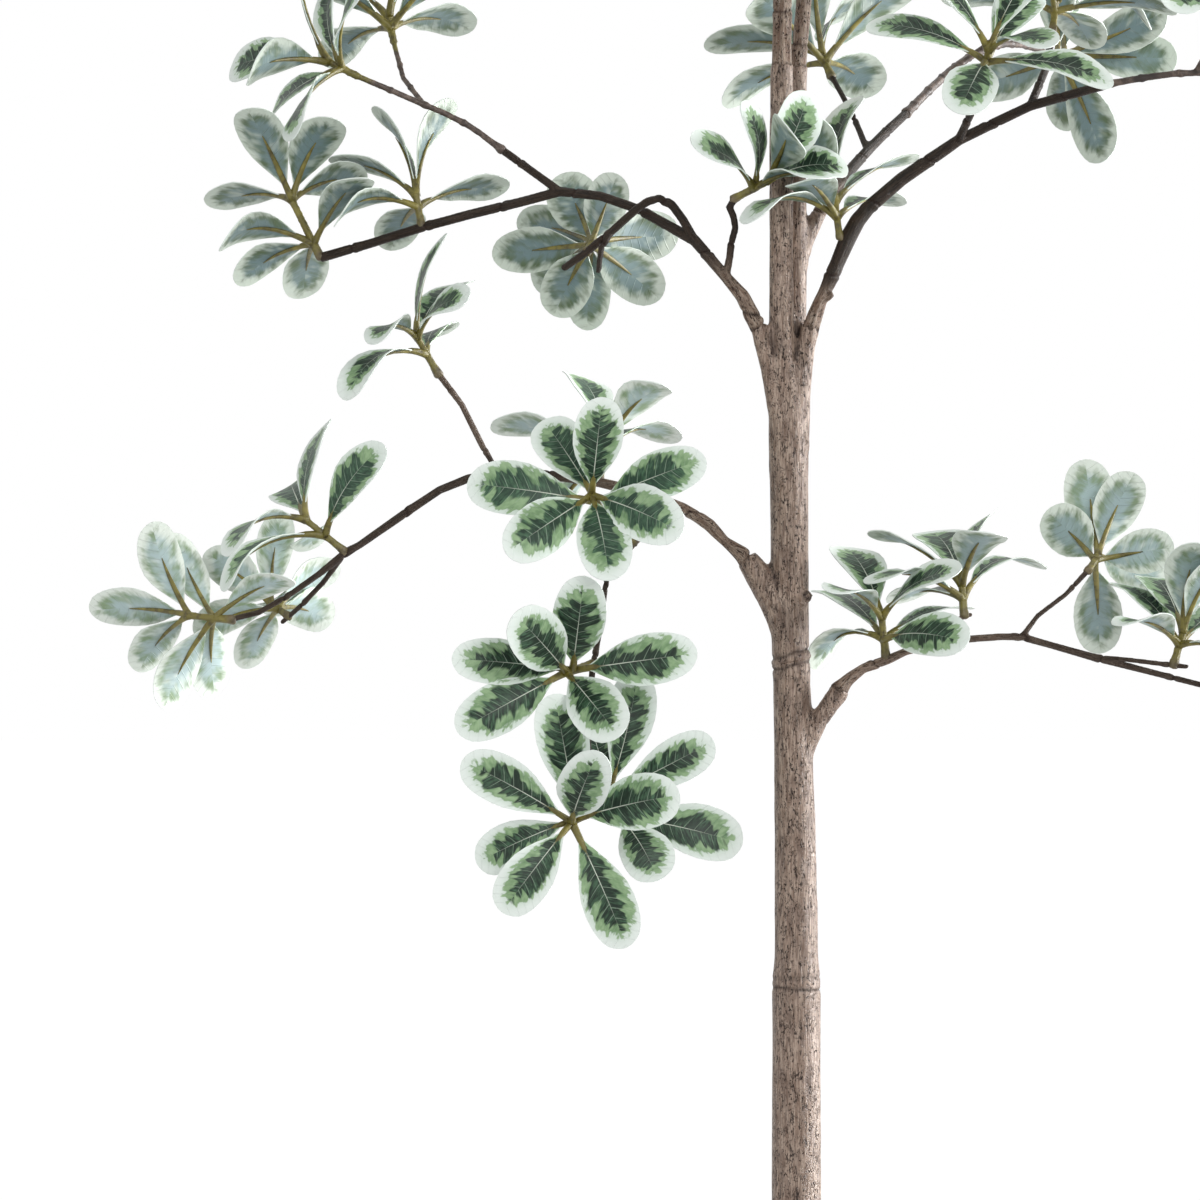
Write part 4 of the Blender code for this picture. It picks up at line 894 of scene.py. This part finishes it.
def weld(obj, voxel, rounds):
    """Remesh a piece to even faces and soften its flats, some rounds over."""
    remesh = obj.modifiers.new("weld", "REMESH")
    remesh.mode = "VOXEL"
    remesh.voxel_size = voxel
    if rounds:
        soften = obj.modifiers.new("soften", "SMOOTH")
        soften.factor = 0.5
        soften.iterations = rounds
    apply_modifiers(obj)


def way_from(mesh, starts):
    """How far along the wood each vertex is from the nearest start."""
    points = points_of(mesh)
    near = [[] for _ in range(len(points))]
    for first, second in zip(*edges_of(mesh)):
        length = float(numpy.linalg.norm(points[first] - points[second]))
        near[first].append((int(second), length))
        near[second].append((int(first), length))
    far = [math.inf] * len(points)
    queue = [(0.0, int(start)) for start in starts]
    for _, start in queue:
        far[start] = 0.0
    heapq.heapify(queue)
    while queue:
        way, vert = heapq.heappop(queue)
        if way > far[vert]:
            continue
        for other, length in near[vert]:
            if way + length < far[other]:
                far[other] = way + length
                heapq.heappush(queue, (way + length, other))
    return numpy.minimum(numpy.array(far), OUT_OF_REACH)


def meeting(mesh, surface):
    """The vertices where a piece meets the surface that carries it."""
    reach = numpy.array([surface.find_nearest(vert.co)[3] or 1.0 for vert in mesh.vertices])
    return numpy.flatnonzero(reach < reach.min() + 0.9 * MM)


def surface_of(nodes):
    """The surface of some CAD nodes together, to look up what is nearest on it."""
    points = []
    faces = []
    for node in nodes:
        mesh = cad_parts[node].data
        first = len(points)
        points += [vert.co.copy() for vert in mesh.vertices]
        faces += [tuple(first + corner for corner in face.vertices) for face in mesh.polygons]
    return BVHTree.FromPolygons(points, faces)


def relief(points, scale, stretch=1.0):
    """Smooth noise from -1 to 1 at every point, drawn out along Z by stretch."""
    return numpy.array([noise.noise(Vector((x, y, z / stretch)) * scale) for x, y, z in points])


def plug_deeper(obj, along, depth):
    """Draw a limb's or stem's start on into what carries it."""
    points = points_of(obj.data)
    way = points[along < 5.0 * MM].mean(axis=0)
    way -= points[(along > 8.0 * MM) & (along < 13.0 * MM)].mean(axis=0)
    way /= numpy.linalg.norm(way)
    points += numpy.clip(1.0 - along / (8.0 * MM), 0.0, 1.0)[:, None] * way * depth
    set_points(obj.data, points)


def crease_shade(points, normals, ends, low, high):
    """How much painted shade a crease gets: 1 in creases as deep as high, 0 where they are less than low.
    """
    inward = ((spread(points, ends, 14) - points) * normals).sum(axis=1)
    return step_between(inward, low, high)


def grow_wood(obj, along, seed, coat, jointed):
    """Give a welded limb its joints, lumps and the attributes that its bark follows. A joint is a
    slight swelling, and beyond it a pinched dark neck. coat is how much thicker the limb grows, and
    jointed how marked its joints are."""
    mesh = obj.data
    ends = edges_of(mesh)
    points = points_of(mesh)
    normals = spread(normals_of(mesh), ends, 6)
    normals /= numpy.linalg.norm(normals, axis=1)[:, None] + 1e-9
    drift = relief(points + seed, 1.0 / (14.0 * MM))
    place = along / JOINT_GAP + 0.12 * drift + 0.37 * seed
    ring = (place - numpy.round(place)) * JOINT_GAP
    lumps = 0.07 * MM * relief(points + seed, 1.0 / (9.0 * MM), 2.0)
    offset = lumps * (1.0 + 2.0 * numpy.exp(-along / (40.0 * MM))) + coat
    offset += 0.5 * jointed * JOINT_DEPTH * numpy.exp(-((ring + 1.8 * MM) / (2.0 * MM)) ** 2)
    groove = jointed * numpy.exp(-((ring - 0.6 * MM) / (0.9 * MM)) ** 2)
    offset -= JOINT_DEPTH * groove
    # A slight collar where the limb is plugged in.
    offset += 0.4 * MM * numpy.exp(-(along / (2.5 * MM)) ** 2)
    set_points(mesh, points + normals * offset[:, None])
    store(mesh, "around", normals * LIMB_RADIUS)
    store(mesh, "along", along)
    joint = numpy.exp(-((along - 0.8 * MM) / (0.8 * MM)) ** 2)
    # Painted shade darkens the creases; the joints' grooves and the plug get a dark wash.
    crease = crease_shade(points, normals, ends, 0.1 * MM, 0.6 * MM)
    store(mesh, "wash_and_crease_shade", numpy.maximum(numpy.maximum(0.75 * groove, 0.8 * joint), 0.7 * crease))
    mesh.shade_smooth()


# ---------------------------------------------------------------- settings

class LeafSettings(bpy.types.PropertyGroup):
    """The leaves' size and print."""
    length: FloatProperty(
        name="Length", description="From the stem to the tip", default=0.073, unit="LENGTH")
    width: FloatProperty(
        name="Width", description="Across the broadest part", default=0.0305, unit="LENGTH")
    thickness: FloatProperty(name="Thickness", description="Of the fabric", default=0.0006, unit="LENGTH")
    petiole: FloatProperty(
        name="Petiole", description="Radius where it leaves the stem", default=0.0026, unit="LENGTH")
    heart: StringProperty(name="Heart", description="Dark middle of the print", default="#0C1F13")
    # Also painted light on the leaves of the low left limb.
    heart_faint_and_lit: StringProperty(
        name="Heart faint", description="The same, faintly printed", default="#20382A")
    heart_light: StringProperty(
        name="Heart light", description="Lighter streaks in it", default="#4C6E53")
    fleck: StringProperty(name="Fleck", description="Mid-green flecks", default="#68875F")
    fleck_light: StringProperty(name="Fleck light", description="Lighter flecks", default="#93AE86")
    margin: StringProperty(name="Margin", description="Pale outer band", default="#E2EAE4")
    margin_shade: StringProperty(
        name="Margin shade", description="Inner edge of the band", default="#CAD8CB")
    vein: StringProperty(name="Vein", description="Side veins", default="#A3B9A2")
    midrib: StringProperty(name="Midrib", description="Middle vein", default="#E6ECDD")
    # The back colours come faint and deep; by where a leaf grows they also paint light on the low left
    # limb's leaves and shade on the highest.
    back: StringProperty(name="Back", description="Patch on the back", default="#6C8284")
    back_faint_and_lit: StringProperty(name="Back light", description="Its lighter clouds", default="#B5C9C9")
    back_margin: StringProperty(name="Back margin", description="Band on the back", default="#E3EAE2")
    back_margin_deep_and_shaded: StringProperty(
        name="Back margin deep", description="The same on deeply printed leaves", default="#C9D3C7")
    back_green: StringProperty(name="Back green", description="Edge of the patch", default="#546549")
    back_green_faint_and_lit: StringProperty(
        name="Back green light", description="The same, faintly printed", default="#8BA17F")


class WoodSettings(bpy.types.PropertyGroup):
    """The trunk's, limbs' and stems' colours and fineness."""
    trunk_voxel: FloatProperty(
        name="Trunk face size", description="Faces on the trunk", default=0.0014, unit="LENGTH")
    limb_voxel: FloatProperty(
        name="Limb face size", description="Faces on limbs", default=0.0008, unit="LENGTH")
    twig_voxel: FloatProperty(
        name="Twig face size", description="Faces on twigs", default=0.00085, unit="LENGTH")
    stem_voxel: FloatProperty(
        name="Stem face size", description="Faces on stems", default=0.0007, unit="LENGTH")
    bark_light: StringProperty(name="Bark light", description="Brushed highlights", default="#A69283")
    # Pale specks of painted highlight on the bark.
    bark_painted_glint: StringProperty(name="Bark glint", description="Pale specks", default="#D4C6BA")
    bark: StringProperty(name="Bark", description="Main taupe", default="#766051")
    bark_dark: StringProperty(name="Bark dark", description="Darker streaks", default="#513A2E")
    # Also the painted shade in the wood's creases.
    crack_and_crease_shade: StringProperty(name="Crack", description="Wash in cracks", default="#22140F")
    limb_pale: StringProperty(name="Limb pale", description="Limb beside the trunk", default="#9A8A7C")
    limb_light: StringProperty(name="Limb light", description="Worn limb", default="#36291E")
    limb: StringProperty(name="Limb", description="Limb brown", default="#1B120B")
    limb_dark: StringProperty(name="Limb dark", description="Dark limb", default="#0F0A06")
    olive: StringProperty(name="Olive", description="Young stem", default="#6A6228")
    olive_light: StringProperty(name="Olive light", description="Its lights", default="#847A37")
    olive_dark: StringProperty(name="Olive dark", description="Its hollows", default="#473F19")
    twig: StringProperty(name="Twig", description="Twig brown", default="#3F322B")
    twig_light: StringProperty(name="Twig light", description="Its scuffs", default="#6A5A50")
    twig_dark: StringProperty(name="Twig dark", description="Its shade", default="#281E19")


class PlanterSettings(bpy.types.PropertyGroup):
    """The planter, its soil and its ballast."""
    wall: FloatProperty(name="Wall", description="Wall thickness", default=0.004, unit="LENGTH")
    plastic: StringProperty(name="Plastic", description="Planter colour", default="#292A2C")
    soil: StringProperty(name="Soil", description="Damp soil", default="#3B2C22")
    soil_light: StringProperty(name="Soil light", description="Dry crumbs", default="#6A5444")
    cement: StringProperty(name="Cement", description="Ballast colour", default="#8F8B84")
    cement_light: StringProperty(name="Cement light", description="Its dusty grains", default="#B5B1AA")
    dust: StringProperty(name="Dust", description="Dust on the planter", default="#45464A")
    bark_chip: StringProperty(name="Bark chip", description="Chips in the soil", default="#7A6450")
    soil_voxel: FloatProperty(
        name="Soil face size", description="Faces on the soil", default=0.0022, unit="LENGTH")


class StudioSettings(bpy.types.PropertyGroup):
    """The floor, lamps and camera."""
    floor: FloatProperty(name="Floor", description="Side of the floor", default=160.0, unit="LENGTH")
    key: FloatProperty(name="Key lamp", description="Power of the key lamp in watts", default=80.0)
    fill: FloatProperty(name="Fill lamp", description="Power of the fill lamp in watts", default=35.0)
    side: FloatProperty(
        name="Side lamp", description="Power of the lamp at the right, in watts", default=285.0)
    room: FloatProperty(name="Room light", description="Strength of the light all round", default=0.38)
    distance: FloatProperty(name="Distance", description="Camera to tree", default=6.0, unit="LENGTH")
    aside: FloatProperty(
        name="Aside", description="Camera's place across", default=-0.1092, unit="LENGTH")
    height: FloatProperty(name="Height", description="Camera's height", default=1.13, unit="LENGTH")
    lens: FloatProperty(name="Lens", description="Focal length in millimetres", default=321.4)


# ---------------------------------------------------------------- operators

class ALMOND_OT_studio(bpy.types.Operator):
    """Lay the floor and set the lamps, the room's light and the camera"""
    bl_idname = "almond.studio"
    bl_label = "Studio"

    def execute(self, context):
        settings = context.scene.almond_studio
        scene = context.scene
        scene.view_settings.view_transform = "Standard"
        bpy.ops.object.select_all(action="DESELECT")
        bpy.ops.mesh.primitive_grid_add(x_subdivisions=4, y_subdivisions=4, size=settings.floor)
        floor = context.active_object
        floor.name = "floor"
        floor.data.materials.append(self.paper())

        world = bpy.data.worlds.new("room")
        world.use_nodes = True
        tree = world.node_tree
        tree.nodes.clear()
        light = add(tree, "Background", WHITE, settings.room)
        seen = add(tree, "Background", WHITE, 1.0)
        add(tree, "OutputWorld", add(tree, "MixShader", self.seen_rays(tree), light, seen))
        scene.world = world

        middle = Vector((0.0, 0.0, 1.1))
        # Each lamp's name, power, place, width and height. All of them look at the middle.
        lamps = (
            ("key", settings.key, (1.6, -3.6, 2.6), 1.8, 1.8),
            ("fill", settings.fill, (-3.0, -2.8, 2.0), 2.4, 2.4),
            ("top", settings.fill, (-0.4, 0.8, 4.6), 2.4, 2.4),
            ("side", settings.side, (3.47, 0.95, 1.5), 0.7, 2.8),
        )
        for name, power, place, width, height in lamps:
            bpy.ops.object.light_add(type="AREA", location=place)
            lamp = context.active_object
            lamp.name = name
            lamp.rotation_euler = (middle - Vector(place)).to_track_quat("-Z", "Y").to_euler()
            lamp.data.energy = power
            lamp.data.shape = "RECTANGLE"
            lamp.data.size = width
            lamp.data.size_y = height

        bpy.ops.object.camera_add(location=(settings.aside, -settings.distance, settings.height),
                                  rotation=(math.pi / 2.0, 0.0, 0.0))
        camera = context.active_object
        camera.data.lens = settings.lens
        camera.data.sensor_width = 36.0
        camera.data.clip_end = 500.0
        scene.camera = camera
        return {"FINISHED"}

    def seen_rays(self, tree):
        """1 for rays that show the background itself, and not its light on the tree."""
        path = add(tree, "LightPath").outputs
        seen = add(tree, "Math", path["Is Camera Ray"], path["Is Glossy Ray"], operation="MAXIMUM")
        return add(tree, "Math", seen, path["Is Transmission Ray"], operation="MAXIMUM")

    def paper(self):
        """Matt studio paper: white to the camera but for the tree's shadow, with the glow of a large
        white room on the leaves' undersides. It glows less near the tree, where the lamps light it."""
        mat, tree = new_material("studio_paper")
        place = add(tree, "TexCoord").outputs["Object"]
        radius = add(tree, "VectorMath", place, operation="LENGTH")
        glow = add(tree, "MapRange", radius, 0.2, 3.5, 0.62, 0.93)
        glow = add(tree, "Mix", self.seen_rays(tree), 0.4, glow)
        set_shader(tree, {"Base Color": (0.25, 0.25, 0.25, 1.0), "Roughness": 1.0,
                          "Specular IOR Level": 0.0, "Emission Color": WHITE, "Emission Strength": glow})
        return mat


class ALMOND_OT_planter(bpy.types.Operator):
    """Turn the planter and give the ballast its cement"""
    bl_idname = "almond.planter"
    bl_label = "Planter"

    def execute(self, context):
        settings = context.scene.almond_planter
        low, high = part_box("planter_pot")
        height = high[2]
        rim = (high[0] - low[0]) / 2.0
        inside = rim - settings.wall
        # Radius and height round the section: floor and inner wall, turned-out rim, outer wall, foot.
        outline = [
            (0.0, 0.006), (0.090, 0.0055), (0.0945, 0.009), (0.1285, height - 0.020),
            (inside - 0.003, height - 0.006), (inside - 0.0005, height - 0.001), (rim - 0.0025, height),
            (rim - 0.0005, height - 0.0015), (rim - 0.0002, height - 0.005),
            (rim - 0.0012, height - 0.0165), (rim - 0.0022, height - 0.018),
            (0.1345, height - 0.0185), (0.1338, height - 0.021), (0.1325, height - 0.030),
            (0.0990, 0.012), (0.0975, 0.004), (0.0962, 0.0008), (0.0945, 0.0), (0.088, 0.0),
            (0.0865, 0.0022), (0.0, 0.0022),
        ]
        mesh = bpy.data.meshes.new("planter")
        mesh.from_pydata([(radius, 0.0, level) for radius, level in outline],
                         [(i, i + 1) for i in range(len(outline) - 1)], [])
        pot = bpy.data.objects.new("planter", mesh)
        context.scene.collection.objects.link(pot)
        select_only(pot)
        bpy.ops.object.mode_set(mode="EDIT")
        bpy.ops.mesh.select_all(action="SELECT")
        bpy.ops.mesh.spin(steps=96, angle=2.0 * math.pi, center=(0.0, 0.0, 0.0), axis=(0.0, 0.0, 1.0))
        bpy.ops.mesh.select_all(action="SELECT")
        bpy.ops.mesh.remove_doubles(threshold=1e-5)
        bpy.ops.mesh.normals_make_consistent(inside=False)
        bpy.ops.object.mode_set(mode="OBJECT")
        select_only(pot)
        bpy.ops.object.shade_smooth_by_angle(angle=math.radians(35.0))
        pot.data.materials.append(self.plastic(settings))
        finish_piece(pot, "planter", ["planter_pot"])
        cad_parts["ballast_cement"].data.materials[0] = self.cement(settings)
        return {"FINISHED"}

    def plastic(self, settings):
        """Moulded polypropylene, charcoal: a fine even texture and a soft satin sheen."""
        mat, tree = new_material("moulded_polypropylene")
        place = add(tree, "TexCoord").outputs["Object"]
        fine = add(tree, "TexNoise", place, POT_GRAIN)
        broad = add(tree, "TexNoise", place, POT_DUST, 3.0)
        dusty = add(tree, "MapRange", broad, 0.4, 0.75, 0.0, 0.3, **SMOOTH)
        colour = add(tree, "Mix", dusty, linear(settings.plastic), linear(settings.dust), data_type="RGBA")
        set_shader(tree, {"Base Color": colour, "IOR": 1.49,
                          "Roughness": add(tree, "MapRange", broad, 0.3, 0.7, 0.44, 0.56, **SMOOTH),
                          "Normal": add(tree, "Bump", None, 0.12 * MM, None, fine)})
        return mat

    def cement(self, settings):
        """Poured cement: grey, dusty and pitted."""
        mat, tree = new_material("poured_cement")
        place = add(tree, "TexCoord").outputs["Object"]
        grain = add(tree, "TexNoise", place, CEMENT_GRAIN, 4.0, 0.6)
        colour = add(tree, "Mix", grain, linear(settings.cement), linear(settings.cement_light),
                     data_type="RGBA")
        set_shader(tree, {"Base Color": colour, "Roughness": 0.92,
                          "Normal": add(tree, "Bump", None, 1.2 * MM, None, grain)})
        return mat


class ALMOND_OT_soil(bpy.types.Operator):
    """Heap the soil in the planter, with crumbs on it"""
    bl_idname = "almond.soil"
    bl_label = "Soil"

    def execute(self, context):
        settings = context.scene.almond_planter
        soil = merged_copy("soil")
        weld(soil, settings.soil_voxel, 0)
        mesh = soil.data
        points = points_of(mesh)
        top = step_between(points[:, 2], *SOIL_TOP)
        inner = 1.0 - step_between(numpy.hypot(points[:, 0], points[:, 1]), *SOIL_REACH)
        crumbs = numpy.abs(relief(points, 1.0 / (4.6 * MM))) * 3.6 * MM
        crumbs += numpy.abs(relief(points + 4.0, 1.0 / (11.0 * MM))) * 3.4 * MM
        heaps = relief(points, 1.0 / (30.0 * MM)) * 2.6 * MM
        points[:, 2] += top * (crumbs + heaps) * (0.35 + 0.65 * inner)
        set_points(mesh, points)
        store(mesh, "crumb", step_between(crumbs, 1.2 * MM, 4.0 * MM))
        mesh.shade_smooth()
        mesh.materials.append(self.peat(settings))
        finish_piece(soil, "soil_heap", ["soil"])
        return {"FINISHED"}

    def peat(self, settings):
        """Peat and bark fines: near-black where damp, brown on the dry crumbs."""
        mat, tree = new_material("peat_soil")
        place = add(tree, "TexCoord").outputs["Object"]
        crumb = add(tree, "Attribute", attribute_name="crumb").outputs["Fac"]
        grit = add(tree, "TexNoise", place, SOIL_GRIT, 4.0, 0.65)
        chip = add(tree, "SeparateColor", add(tree, "TexVoronoi", place, SOIL_CHIPS).outputs["Color"])
        dry = add(tree, "MapRange", grit, 0.35, 0.7, **SMOOTH)
        dry = add(tree, "Math", crumb, dry, operation="MULTIPLY")
        colour = add(tree, "Mix", dry, linear(settings.soil), linear(settings.soil_light), data_type="RGBA")
        chipped = add(tree, "MapRange", chip, 0.88, 0.93, 0.0, 0.6, **SMOOTH)
        colour = add(tree, "Mix", chipped, colour, linear(settings.bark_chip), data_type="RGBA")
        height = add(tree, "Math", chip, 0.5, grit, operation="MULTIPLY_ADD")
        set_shader(tree, {"Base Color": colour, "Roughness": 0.95,
                          "Normal": add(tree, "Bump", None, 2.0 * MM, None, height)})
        return mat


class ALMOND_OT_trunk(bpy.types.Operator):
    """Grow bark, rings and a knot on the trunk"""
    bl_idname = "almond.trunk"
    bl_label = "Trunk"

    def execute(self, context):
        settings = context.scene.almond_wood
        bark = painted_bark("brushed_foam_bark", settings, 0.6)
        for number, node in enumerate(TRUNK):
            wood = merged_copy(node)
            low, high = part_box(node)
            # The foot in the ballast and the top between the leaders stay as they are.
            lengthen(wood, low[2] if number else -OUT_OF_REACH,
                     high[2] if number < len(TRUNK) - 1 else OUT_OF_REACH, 2.6 * MM)
            weld(wood, settings.trunk_voxel, UPPER_SOFTENING if node == "trunk_upper" else SOFTENING)
            self.shape(wood)
            wood.data.materials.append(bark)
            finish_piece(wood, f"{node}_bark", [node])
        return {"FINISHED"}

    def shape(self, wood):
        """Bark relief, the moulded rings and collars, and the cut stub."""
        mesh = wood.data
        points = points_of(mesh)
        ends = edges_of(mesh)
        normals = spread(normals_of(mesh), ends, 8)
        normals /= numpy.linalg.norm(normals, axis=1)[:, None] + 1e-9
        x, y, z = points.T
        upright = 1.0 - numpy.abs(normals[:, 2])
        ripple = relief(points, 1.0 / (8.0 * MM), 5.0)
        fine = relief(points + 3.0, 1.0 / (3.2 * MM), 4.0)
        broad = relief(points + 7.0, 1.0 / (16.0 * MM), 3.0)
        crease = numpy.clip(1.0 - numpy.abs(ripple) * 7.0, 0.0, 1.0) * step_between(broad, -0.1, 0.3)
        offset = 0.35 * MM + 0.32 * MM * broad + 0.16 * MM * fine - 0.5 * MM * crease
        # Painted shade darkens the creases and hollows; below, the rings and the stub get a dark wash.
        wash_and_crease_shade = 0.35 * crease + 0.75 * crease_shade(points, normals, ends, 0.12 * MM, 0.7 * MM)
        wander = MM * relief(numpy.column_stack((x, y, z * 0.1)), RING_WAVER)
        for level, slant, width, rise, dark in TRUNK_RINGS:
            line = level + slant * x + wander
            strength = numpy.exp(-((z - line) / (width * MM)) ** 2)
            offset += strength * rise * MM * upright
            wash_and_crease_shade += dark * strength
        # The stub's cut is dished, with a dark ring round it.
        stub = numpy.linalg.norm(points - numpy.array(CUT_STUB), axis=1)
        wash_and_crease_shade += 0.9 * numpy.exp(-((stub - 3.0 * MM) / (1.0 * MM)) ** 2)
        offset -= 0.9 * MM * numpy.exp(-(stub / (1.7 * MM)) ** 2)
        set_points(mesh, points + normals * offset[:, None])
        store(mesh, "around", numpy.column_stack((x, y, 0.0 * z)))
        store(mesh, "along", z)
        store(mesh, "wash_and_crease_shade", numpy.clip(wash_and_crease_shade, 0.0, 0.9))
        mesh.shade_smooth()


class ALMOND_OT_limbs(bpy.types.Operator):
    """Grow bark and rings on the leaders and limbs"""
    bl_idname = "almond.limbs"
    bl_label = "Limbs"

    def execute(self, context):
        settings = context.scene.almond_wood
        bark = painted_bark("washed_limb_bark", settings, 0.5,
                            (settings.limb_light, settings.limb, settings.limb_dark))
        for number, node in enumerate(LIMBS):
            limb = merged_copy(node)
            weld(limb, settings.limb_voxel * (1.4 if node.startswith("leader") else 1.0), 6)
            along = way_from(limb.data, meeting(limb.data, surface_of([CARRIERS[node]])))
            plug_deeper(limb, along, 4.0 * MM)
            # 1 on an upper twig that is smoother and lighter.
            twig = numpy.zeros(len(along))
            if node in PALE_ABOVE:
                low = PALE_ABOVE[node]
                twig = step_between(points_of(limb.data)[:, 2], low, low + 0.012)
            thicker, start, end, half = COAT.get(node, NO_COAT)
            coat = thicker * step_between(along, start, end)
            coat *= 1.0 - 0.5 * step_between(along, half, half + 0.05)
            grow_wood(limb, along, 1.0 + number, coat + 0.4 * MM * twig, 1.0 - 0.6 * twig)
            near, far, amount = PALE_REACH.get(node, USUAL_PALE_REACH)
            aged = amount * step_between(along, near, far)
            store(limb.data, "fresh", 1.0 - 0.8 * aged)
            store(limb.data, "aged", aged * (1.0 - 0.45 * twig))
            limb.data.materials.append(bark)
            finish_piece(limb, f"{node}_bark", [node])
        return {"FINISHED"}


class ALMOND_OT_foliage(bpy.types.Operator):
    """Grow the leaves, petioles, stems and twigs of every rosette and spray"""
    bl_idname = "almond.foliage"
    bl_label = "Foliage"

    def execute(self, context):
        scene = context.scene
        leaf_settings = scene.almond_leaf
        wood_settings = scene.almond_wood
        blade = model_blade(leaf_settings)
        petiole = model_petiole(leaf_settings)
        blade.data.materials.append(printed_leaf_face(leaf_settings))
        blade.data.materials.append(printed_leaf_back(leaf_settings))
        paint = moulded_stem(wood_settings)
        wood = surface_of(TRUNK + LIMBS)
        for number, node in enumerate(ROSETTES + SPRAYS):
            chance = random.Random(FIRST_SEED + number)
            body = merged_copy(node)
            leaves, held = leaf_places(body.data)
            natures = [leaf_nature(chance) for _ in leaves]
            blades, petioles = [
                [grown_copy(model, leaf, nature, leaf_settings) for leaf, nature in zip(leaves, natures)]
                for model in (blade, petiole)]
            foliage = joined(blades)
            spread_bake_cells(foliage.data, len(leaves))
            without_blades(body, held)
            spray = node.startswith("spray")
            weld(body, wood_settings.twig_voxel if spray else wood_settings.stem_voxel, 4)
            self.stem_shape(body, leaves, spray, wood, number)
            for piece in petioles:
                store(piece.data, "olive", numpy.ones(len(piece.data.vertices)))
            body = joined([body, *petioles])
            body.data.materials.append(paint)
            body.data.shade_smooth()
            finish_piece(foliage, f"{node}_leaves", [node])
            finish_piece(body, f"{node}_stem", [])
        for model in (blade, petiole):
            bpy.data.objects.remove(model)
        return {"FINISHED"}

    def stem_shape(self, body, leaves, spray, wood, number):
        """Swell a stem where its leaves leave it, ring the twig below and sink its foot in the wood."""
        mesh = body.data
        points = points_of(mesh)
        normals = normals_of(mesh)
        starts = numpy.array([leaf["start"] for leaf in leaves])
        reach = numpy.min(numpy.linalg.norm(points[:, None, :] - starts[None, :, :], axis=2), axis=1)
        olive = 1.0 - step_between(reach, 15.0 * MM, 21.0 * MM) if spray else numpy.ones(len(points))
        along = way_from(mesh, meeting(mesh, wood))
        offset = 0.12 * MM + 0.35 * MM * numpy.exp(-(reach / (3.0 * MM)) ** 2)
        offset += 0.16 * MM * relief(points, 1.0 / (3.0 * MM))
        offset += 0.75 * MM * numpy.exp(-(along / (3.2 * MM)) ** 2)
        if spray:
            place = along / TWIG_JOINT_GAP + 0.1 * relief(points, JOINT_DRIFT) + 0.3 * number
            ring = numpy.abs(place - numpy.round(place)) * TWIG_JOINT_GAP
            offset += 0.5 * MM * numpy.exp(-(ring / (1.6 * MM)) ** 2) * (1.0 - olive)
        set_points(mesh, points + normals * offset[:, None])
        plug_deeper(body, along, 3.5 * MM)
        foot_wash = step_between(along, 0.5 * MM, 5.0 * MM)
        store(mesh, "olive", olive * (0.35 + 0.65 * foot_wash))


class ALMOND_PT_panel(bpy.types.Panel):
    """The tree's pieces and their settings"""
    bl_idname = "ALMOND_PT_panel"
    bl_label = "Almond Tree"
    bl_space_type = "VIEW_3D"
    bl_region_type = "UI"
    bl_category = "Almond Tree"

    def draw(self, context):
        layout = self.layout
        scene = context.scene
        for operator, settings in (
                ("almond.studio", scene.almond_studio), ("almond.planter", scene.almond_planter),
                ("almond.soil", None), ("almond.trunk", scene.almond_wood), ("almond.limbs", None),
                ("almond.foliage", scene.almond_leaf)):
            layout.operator(operator)
            if settings is not None:
                for name in settings.__annotations__:
                    layout.prop(settings, name)


CLASSES = (LeafSettings, WoodSettings, PlanterSettings, StudioSettings, ALMOND_OT_studio,
           ALMOND_OT_planter, ALMOND_OT_soil, ALMOND_OT_trunk, ALMOND_OT_limbs,
           ALMOND_OT_foliage, ALMOND_PT_panel)


def register():
    """Register the classes and hang the settings on the scene."""
    for item in CLASSES:
        bpy.utils.register_class(item)
    bpy.types.Scene.almond_leaf = PointerProperty(type=LeafSettings)
    bpy.types.Scene.almond_wood = PointerProperty(type=WoodSettings)
    bpy.types.Scene.almond_planter = PointerProperty(type=PlanterSettings)
    bpy.types.Scene.almond_studio = PointerProperty(type=StudioSettings)


def unregister():
    """Take the settings and the classes away again."""
    del bpy.types.Scene.almond_studio
    del bpy.types.Scene.almond_planter
    del bpy.types.Scene.almond_wood
    del bpy.types.Scene.almond_leaf
    for item in reversed(CLASSES):
        bpy.utils.unregister_class(item)


def main():
    """Build every piece in order."""
    register()
    bpy.ops.almond.studio()
    bpy.ops.almond.planter()
    bpy.ops.almond.soil()
    bpy.ops.almond.trunk()
    bpy.ops.almond.limbs()
    bpy.ops.almond.foliage()
    bpy.ops.object.select_all(action="DESELECT")


if __name__ == "__main__":
    main()
